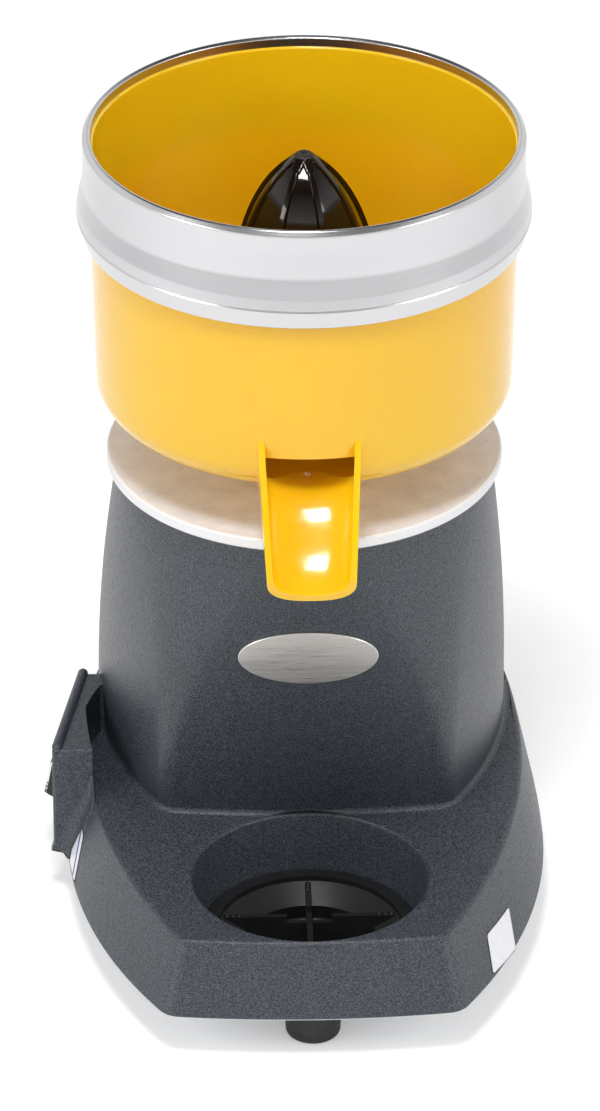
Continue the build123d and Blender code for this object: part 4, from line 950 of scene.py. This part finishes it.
def cone_flutes(ribs):
    """Radius, height and angle of the cone's outside.

    Across a rib q runs from 0 at its middle to 1 at its shoulder, 2 at the foot of its flank
    and 3 midway to the next rib.  The flank falls by RIB_HEIGHT in a smooth step.  The panel
    beyond it lies part way from an arc to a chord: its radius is scaled by
    1 - flatness * (1 - cos(w) / cos(x)), with x the angle from the panel's middle and w its
    half width.  Both fade in below the crown, first at the panel's middle, so that each
    panel starts as a rounded tongue.
    """
    pitch = 2 * np.pi / ribs
    half = np.concatenate([np.arange(3) / 3, 1 + np.arange(4) / 4, 2 + np.arange(8) / 8])
    q = np.tile(np.concatenate([[3.0], half[:0:-1], half]), ribs)
    side = np.tile(np.repeat([-1.0, 1.0], len(half)), ribs)
    middle = np.radians(FIRST_RIB) + np.repeat(np.arange(ribs), 2 * len(half)) * pitch
    depth = 0.35 + (CONE_TIP - CONE_BASE - 3.75) * np.linspace(0, 1, 80)[:, None] ** 1.7
    crest = cone_crest(CONE_TIP - depth)
    reach = pitch / 2 * crest
    shoulder = np.minimum(0.8 + 0.012 * depth, 0.4 * reach)
    flank = np.minimum(0.6, 0.25 * reach)
    panel = pitch / 2 - (shoulder + flank) / crest
    across = np.clip(q - 2, 0, 1)
    away = (shoulder * np.clip(q, 0, 1) + flank * np.clip(q - 1, 0, 1)) / crest + panel * across
    x = np.minimum(pitch / 2 - away, panel)
    fade = smooth_step((depth - 1.8 - 3.0 * (1 - across) ** 2) / 2.2)
    flat = 1 - PANEL_FLATNESS * (1 - np.cos(panel) / np.cos(x)) * fade
    radius = (crest - RIB_HEIGHT * smooth_step(q - 1) * fade) * flat
    return radius, np.broadcast_to(CONE_TIP - depth, radius.shape), middle + side * away


def cone_grid(ribs):
    """Reamer from the middle of its crown down the fluted outside, round its rim, up its
    hollow inside, down its post and up the six-sided socket to the middle again."""
    flutes = cone_flutes(ribs)
    n = flutes[0].shape[1]
    angle = flutes[2][-1, 0] + np.arange(n) * 2 * np.pi / n

    def level(pairs):
        """Level rows of the given (radius, height), at all angles."""
        pairs = np.asarray(pairs, float)
        return pairs[:, :1] + 0 * angle, pairs[:, 1:] + 0 * angle, np.tile(angle, (len(pairs), 1))

    crown = [(0.0, -0.45), (1.0, -0.45), (1.7, 0.0), (2.5, 0.0), (3.1, -0.1)]
    rim = cone_crest(CONE_BASE) + 1.5
    step = CONE_BASE + 3.0
    lower = rounded([(rim - 5.0, step), (rim, step), (rim, CONE_BASE), (rim - 6.0, CONE_BASE)],
                    [0, 1.2, 0.8, 0], 6)[1:]
    hollow_z = np.linspace(CONE_BASE + 0.5, 320.0, 24)
    hollow = np.stack([np.maximum(cone_crest(hollow_z) - 4.5, 12.8), hollow_z], 1)
    socket = level([(10.35, CONE_BASE), (10.35, 296.0)])
    hexagon = socket[0] * np.cos(np.pi / 6) / np.cos(angle % (np.pi / 3) - np.pi / 6)
    runs = [level(np.add(crown, (0.0, CONE_TIP))), flutes, level(lower), level(hollow),
            level([(12.6, 319.5), (12.6, CONE_BASE)]), (hexagon, socket[1], socket[2]),
            level([(7.0, 296.0), (7.0, 304.0), (0.0, 304.0)])]
    r, z, a = (np.concatenate(values) for values in zip(*runs))
    return np.stack([r * np.cos(a), r * np.sin(a), z], -1)


# ================================================================ plates that follow a wall
def plate_on(name, place, outline, thickness, lift, edge, rings=10):
    """Thin plate laid on a wall: its outline shrinks evenly to its middle on both faces.

    place(a, b) gives the wall's points and normals at across a and up b from that middle.
    The back has `rings` rows, then come the chamfer's lower edge and the front's rows.
    """
    share = np.concatenate([np.linspace(0, 1, rings), [1.0], np.linspace(1, 0, rings)])
    inset = np.repeat([0.0, edge], [rings + 1, rings])
    height = np.repeat([0.0, thickness - edge, thickness], [rings, 1, rings])
    size = np.abs(outline).max(0)
    shape = outline[None] * share[:, None, None] * (1 - inset[:, None, None] / size)
    points, normals = place(shape[..., 0], shape[..., 1])
    return surface(name, points + normals * (lift + height)[:, None, None], loop_rows=False)


def column_front(x, up):
    """Points and normals of the column's front round the badge's middle: an arc across and
    a straight lean upwards."""
    z = BADGE_Z + up
    front_y, _, radii = column_form(z)
    lean = (COLUMN_R + COLUMN_OUTLINE["front_y"]) / (COLUMN_TOP - BASE_TOP)
    y = front_y + radii[0] - np.sqrt(radii[0] ** 2 - x ** 2)
    normal = unit(np.stack([x / radii[0], np.full_like(x, -1.0), np.full_like(x, -lean)], -1))
    return np.stack([x, y, z], -1), normal


def base_wall(side, middle, along_step, up_step):
    """Base's wall on one side (1 right, -1 left) as a function of millimetres along and up.

    The middle is an outline place and a height (u, z), and each step is what both grow by
    in one millimetre.
    """
    low, top = base_form(BASE_BOTTOM), base_form(BASE_TOP)
    flip = np.array([side, 1.0, 1.0])

    def place(along, up):
        u, z = (m + along * s + up * t for m, s, t in zip(middle, along_step, up_step))
        share = (z - BASE_BOTTOM) / (BASE_TOP - BASE_BOTTOM)
        lower, upper = outline_at(u, low), outline_at(u, top)
        flat = outward(u, low)
        fall = ((lower - upper) * flat).sum(-1) / (BASE_TOP - BASE_BOTTOM)
        points = at_height(lower + (upper - lower) * share[..., None], z)
        return points * flip, unit(at_height(flat, fall)) * flip
    return place


# ================================================================ settings
def colour_of(name, text, default):
    return FloatVectorProperty(name=name, description=text, subtype="COLOR", size=3, min=0, max=1,
                               default=default)


def length_of(name, text, low, high, default):
    return FloatProperty(name=name, description=text, unit="LENGTH", min=low, max=high, default=default)


def level_of(name, text, high, default):
    return FloatProperty(name=name, description=text, subtype="FACTOR", min=0, max=high, default=default)


class JuicerBody(bpy.types.PropertyGroup):
    """Casting and its paint."""
    paint: colour_of("Paint", "Colour of the casting's powder coat", (0.034, 0.040, 0.050))
    speckle: length_of("Speckle", "Size of the grains in the paint", 0.0002, 0.01, 0.0006)
    deck_round: length_of("Deck Edge", "Round of the deck's outer edge", 0.0005, 0.0026, 0.0026)
    foot_round: length_of("Column Foot", "Hollow round between the column and the deck", 0.0005, 0.005, 0.003)
    recess_round: length_of("Recess Edge", "Round of the glass recess's upper edge", 0.0003, 0.003, 0.0015)


class JuicerBowl(bpy.types.PropertyGroup):
    """Bowl and spout."""
    plastic: colour_of("Plastic", "Colour of the bowl", (0.97, 0.53, 0.006))
    spout_edge: length_of("Spout Edge", "Round of the spout's edges", 0.0001, 0.001, 0.0007)


class JuicerRing(bpy.types.PropertyGroup):
    """Splash ring."""
    metal: colour_of("Metal", "Colour of the splash ring", (0.60, 0.60, 0.615))


class JuicerCone(bpy.types.PropertyGroup):
    """Squeezing cone."""
    ribs: IntProperty(name="Ribs", description="How many ribs the cone has", min=4, max=20, default=8)


class JuicerStage(bpy.types.PropertyGroup):
    """Lamps and floor."""
    lamp_level: level_of("Lamp Level", "Share of full light that the lamps give", 2, 0.75)
    room_level: level_of("Room Level", "Share of full light that comes from all round", 1, 0.58)
    floor: colour_of("Floor", "Colour of the floor", (0.9, 0.9, 0.9))


SETTINGS = {"juicer_body": JuicerBody, "juicer_bowl": JuicerBowl, "juicer_ring": JuicerRing,
            "juicer_cone": JuicerCone, "juicer_stage": JuicerStage}


# ================================================================ operators
class Step:
    """What the operators share: each builds its pieces from the scene's settings."""

    def execute(self, context):
        self.build(context.scene)
        return {"FINISHED"}


class JUICER_OT_stage(Step, bpy.types.Operator):
    """Camera, soft lamps, pale floor and room light."""
    bl_idname = "juicer.stage"
    bl_label = "Stage"

    def build(self, scene):
        scene.view_settings.view_transform = "Standard"
        self.make_camera(scene)
        self.make_lamps(scene, scene.juicer_stage.lamp_level)
        self.make_room(scene, scene.juicer_stage.room_level)
        self.make_floor(scene, scene.juicer_stage.floor)

    def make_camera(self, scene):
        """Level camera, raised and swung about a point above the shaft's foot."""
        data = bpy.data.cameras.new("camera")
        for key, value in CAMERA.items():
            setattr(data, key, value)
        camera = bpy.data.objects.new("camera", data)
        scene.collection.objects.link(camera)
        scene.camera = camera
        rise, swing = math.radians(CAMERA_RISE), math.radians(CAMERA_SWING)
        back = Vector((math.sin(swing) * math.cos(rise), -math.cos(swing) * math.cos(rise), math.sin(rise)))
        camera.location = Vector(SHAFT) + Vector((0, 0, CAMERA_AIM)) + back * CAMERA_AWAY
        camera.rotation_mode = "QUATERNION"
        camera.rotation_quaternion = (-back).to_track_quat("-Z", "Y")

    def make_lamps(self, scene, level):
        """Square soft lamps; their energy grows with the square of their distance."""
        middle = Vector(SHAFT) + Vector((0, 0, LAMP_AIM))
        for name, away, size, share in LAMPS:
            data = bpy.data.lights.new(name, "AREA")
            data.size = size
            data.energy = level * share * (math.pi * Vector(away).length) ** 2
            lamp = bpy.data.objects.new(name, data)
            scene.collection.objects.link(lamp)
            lamp.location = middle + Vector(away)
            lamp.rotation_euler = (middle - lamp.location).to_track_quat("-Z", "Y").to_euler()

    def make_room(self, scene, level):
        """World light: a plain level on surfaces, and white where it is seen or seen through.

        What gloss mirrors falls off overhead, as under a studio's dark ceiling.
        """
        world = bpy.data.worlds.new("room")
        scene.world = world
        world.use_nodes = True
        world.node_tree.nodes.clear()
        room = Wiring(world.node_tree)
        path = room.add("ShaderNodeLightPath").outputs
        apart = room.add("ShaderNodeSeparateXYZ")
        room.put(apart.inputs["Vector"], room.add("ShaderNodeTexCoord").outputs["Generated"])
        ceiling = room.ranged(apart.outputs["Z"], *CEILING)
        mirrored = room.blended(path["Is Glossy Ray"], level, ceiling)
        seen = room.math("MAXIMUM", path["Is Camera Ray"], path["Is Transmission Ray"])
        glow = room.add("ShaderNodeBackground", Color=(1, 1, 1, 1))
        room.put(glow.inputs["Strength"], room.blended(seen, mirrored, 1.0))
        room.put(room.add("ShaderNodeOutputWorld").inputs[0], glow.outputs[0])

    def make_floor(self, scene, colour):
        """Wide flat floor that shows white but keeps the object's shadow."""
        mesh = bpy.data.meshes.new("floor")
        corners = [(x * FLOOR_REACH, y * FLOOR_REACH, 0) for x, y in ((-1, -1), (1, -1), (1, 1), (-1, 1))]
        mesh.from_pydata(corners, [], [(0, 1, 2, 3)])
        floor = bpy.data.objects.new("floor", mesh)
        scene.collection.objects.link(floor)
        r = Recipe("floor", tuple(colour), 0.9)
        path = r.add("ShaderNodeLightPath").outputs
        seen = r.math("MAXIMUM", path["Is Camera Ray"], path["Is Glossy Ray"])
        r.set(**{"Specular IOR Level": 0.0, "Emission Color": (1, 1, 1, 1),
                 "Emission Strength": r.math("MULTIPLY", seen, FLOOR_GLOW)})
        mesh.materials.append(r.material)


class JUICER_OT_finishes(Step, bpy.types.Operator):
    """Make the finishes and give each packed node its own."""
    bl_idname = "juicer.finishes"
    bl_label = "Finishes"

    def build(self, scene):
        make_finishes(scene)
        for node, slot in SLOTS.items():
            for place in NODES[node].material_slots:
                place.material = FINISHES[slot]


class JUICER_OT_casting(Step, bpy.types.Operator):
    """Painted casting."""
    bl_idname = "juicer.casting"
    bl_label = "Casting"

    def build(self, scene):
        stand_in(make_casting(scene.juicer_body), "body_casting", 40.0)


class JUICER_OT_flange(Step, bpy.types.Operator):
    """Machined flange under the bowl, with the four pillars that hold the motor."""
    bl_idname = "juicer.flange"
    bl_label = "Flange"

    def build(self, scene):
        edge, bore = DISC_R - 0.8, FLANGE_BORE_R
        corners = [(14.03, BOWL_SEAT), (26.0, BOWL_SEAT), (27.0, 222.6), (27.0, DISC_TOP), (edge, DISC_TOP),
                   (DISC_R, DISC_TOP - 0.8), (DISC_R, COLUMN_TOP + 0.8), (edge, COLUMN_TOP),
                   (bore, COLUMN_TOP), (bore, 189.0), (51.9, 189.0), (51.9, COLUMN_TOP),
                   (22.0, COLUMN_TOP), (22.0, 180.0), (17.53, 180.0), (17.53, 191.0), (9.0, 191.0),
                   (9.0, 222.6), (14.03, 222.6)]
        radii = [0, 0.8, 1.0, 1.2, 0.4, 0.4, 0.4, 0.4, 0, 0.6, 0.6, 1.0, 1.0, 0.5, 0.3, 0, 0, 0.4, 0]
        flange = turned("flange", dense(rounded(corners, radii, 5), 10.0), FINE_TURN, closed=True)
        head = COLUMN_TOP + 1.0
        pillar = [(0.0, 152.0), (5.2, 152.0), (5.5, 152.3), (5.5, head), (0.0, head)]
        places = [(PILLAR_AT * math.cos(a), PILLAR_AT * math.sin(a)) for a in np.radians([45, 135, 225, 315])]
        joined(flange, *(turned("pillar", pillar, 40, place) for place in places))
        stand_in(flange, "top_flange")


class JUICER_OT_bowl(Step, bpy.types.Operator):
    """Bowl with its spout."""
    bl_idname = "juicer.bowl"
    bl_label = "Bowl"

    def build(self, scene):
        bowl = make_bowl()
        self.soften(bowl, scene.juicer_bowl.spout_edge)
        stand_in(bowl, "juice_bowl", 38.0)

    def soften(self, bowl, width):
        """Round the sharp edges of the spout and its opening.

        Those are the edges near the middle line, in front of the shaft and below the spout's top.
        """
        bm = bmesh.new()
        bm.from_mesh(bowl.data)
        bm.normal_update()
        weight = bm.edges.layers.float.new("bevel_weight_edge")
        for edge in bm.edges:
            ends = [v.co - Vector(SHAFT) for v in edge.verts]
            near = all(abs(p.x) < 0.0225 and p.y < -0.08 and p.z < 0.2505 for p in ends)
            if near and len(edge.link_faces) == 2 and edge.calc_face_angle() > 0.6:
                edge[weight] = 1.0
        bm.to_mesh(bowl.data)
        bm.free()
        round_edge = bowl.modifiers.new("edges", "BEVEL")
        round_edge.limit_method = "WEIGHT"
        round_edge.width = width
        round_edge.segments = 3
        applied(bowl)


class JUICER_OT_ring(Step, bpy.types.Operator):
    """Satin splash ring on the bowl's rim."""
    bl_idname = "juicer.ring"
    bl_label = "Splash Ring"

    def build(self, scene):
        stand_in(turned("ring", ring_profile(), 288, closed=True), "splash_ring")


class JUICER_OT_cone(Step, bpy.types.Operator):
    """Fluted squeezing cone."""
    bl_idname = "juicer.cone"
    bl_label = "Cone"

    def build(self, scene):
        stand_in(surface("cone", cone_grid(scene.juicer_cone.ribs), loop_rows=False), "squeezing_cone")


class JUICER_OT_badge(Step, bpy.types.Operator):
    """Bare oval plate on the column and two blank labels on the base."""
    bl_idname = "juicer.badge"
    bl_label = "Badge and Labels"

    def build(self, scene):
        angle = np.linspace(0, 2 * np.pi, 128, endpoint=False)
        across, up = BADGE_HALF
        oval = np.stack([across * np.cos(angle), up * np.cos(math.atan(FRONT_LEAN)) * np.sin(angle)], 1)
        stand_in(plate_on("badge", column_front, oval, 0.9, 0.05, 0.25), "badge_plate")
        for name, wall, (across, up), lift, finish in LABELS:
            sheet = dense(rectangle(across, up, min(across * 0.5, 1.2)), 2.0)
            label = plate_on(name, base_wall(*wall), sheet, 0.12, lift, 0.04)
            dressed(label, "root", FINISHES[finish])


class JUICER_OT_fittings(Step, bpy.types.Operator):
    """Switch, tray, strainer, feet, gland, base plate and drive hub, the sharp ones softened."""
    bl_idname = "juicer.fittings"
    bl_label = "Fittings"

    def build(self, scene):
        for node, bevel in SOFTENED.items():
            stand_in(smooth_copy(node), node, 30.0, bevel)


STEPS = (JUICER_OT_stage, JUICER_OT_finishes, JUICER_OT_casting, JUICER_OT_flange, JUICER_OT_bowl,
         JUICER_OT_ring, JUICER_OT_cone, JUICER_OT_badge, JUICER_OT_fittings)


class JUICER_PT_panel(bpy.types.Panel):
    """Steps and sizes of the juicer."""
    bl_idname = "JUICER_PT_panel"
    bl_label = "Citrus Juicer"
    bl_space_type = "VIEW_3D"
    bl_region_type = "UI"
    bl_category = "Juicer"

    def draw(self, context):
        for name, group in SETTINGS.items():
            box = self.layout.box()
            box.label(text=group.__doc__.rstrip("."))
            for key in group.__annotations__:
                box.prop(getattr(context.scene, name), key)
        for step in STEPS:
            self.layout.operator(step.bl_idname)


def register():
    for group in (*SETTINGS.values(), *STEPS, JUICER_PT_panel):
        bpy.utils.register_class(group)
    for name, group in SETTINGS.items():
        setattr(bpy.types.Scene, name, PointerProperty(type=group))


def unregister():
    for name in SETTINGS:
        delattr(bpy.types.Scene, name)
    for group in reversed((*SETTINGS.values(), *STEPS, JUICER_PT_panel)):
        bpy.utils.unregister_class(group)


def main():
    """Build everything in order."""
    register()
    for step in STEPS:
        group, call = step.bl_idname.split(".")
        if getattr(getattr(bpy.ops, group), call)() != {"FINISHED"}:
            raise RuntimeError(step.bl_idname + " did not finish")


if __name__ == "__main__":
    main()
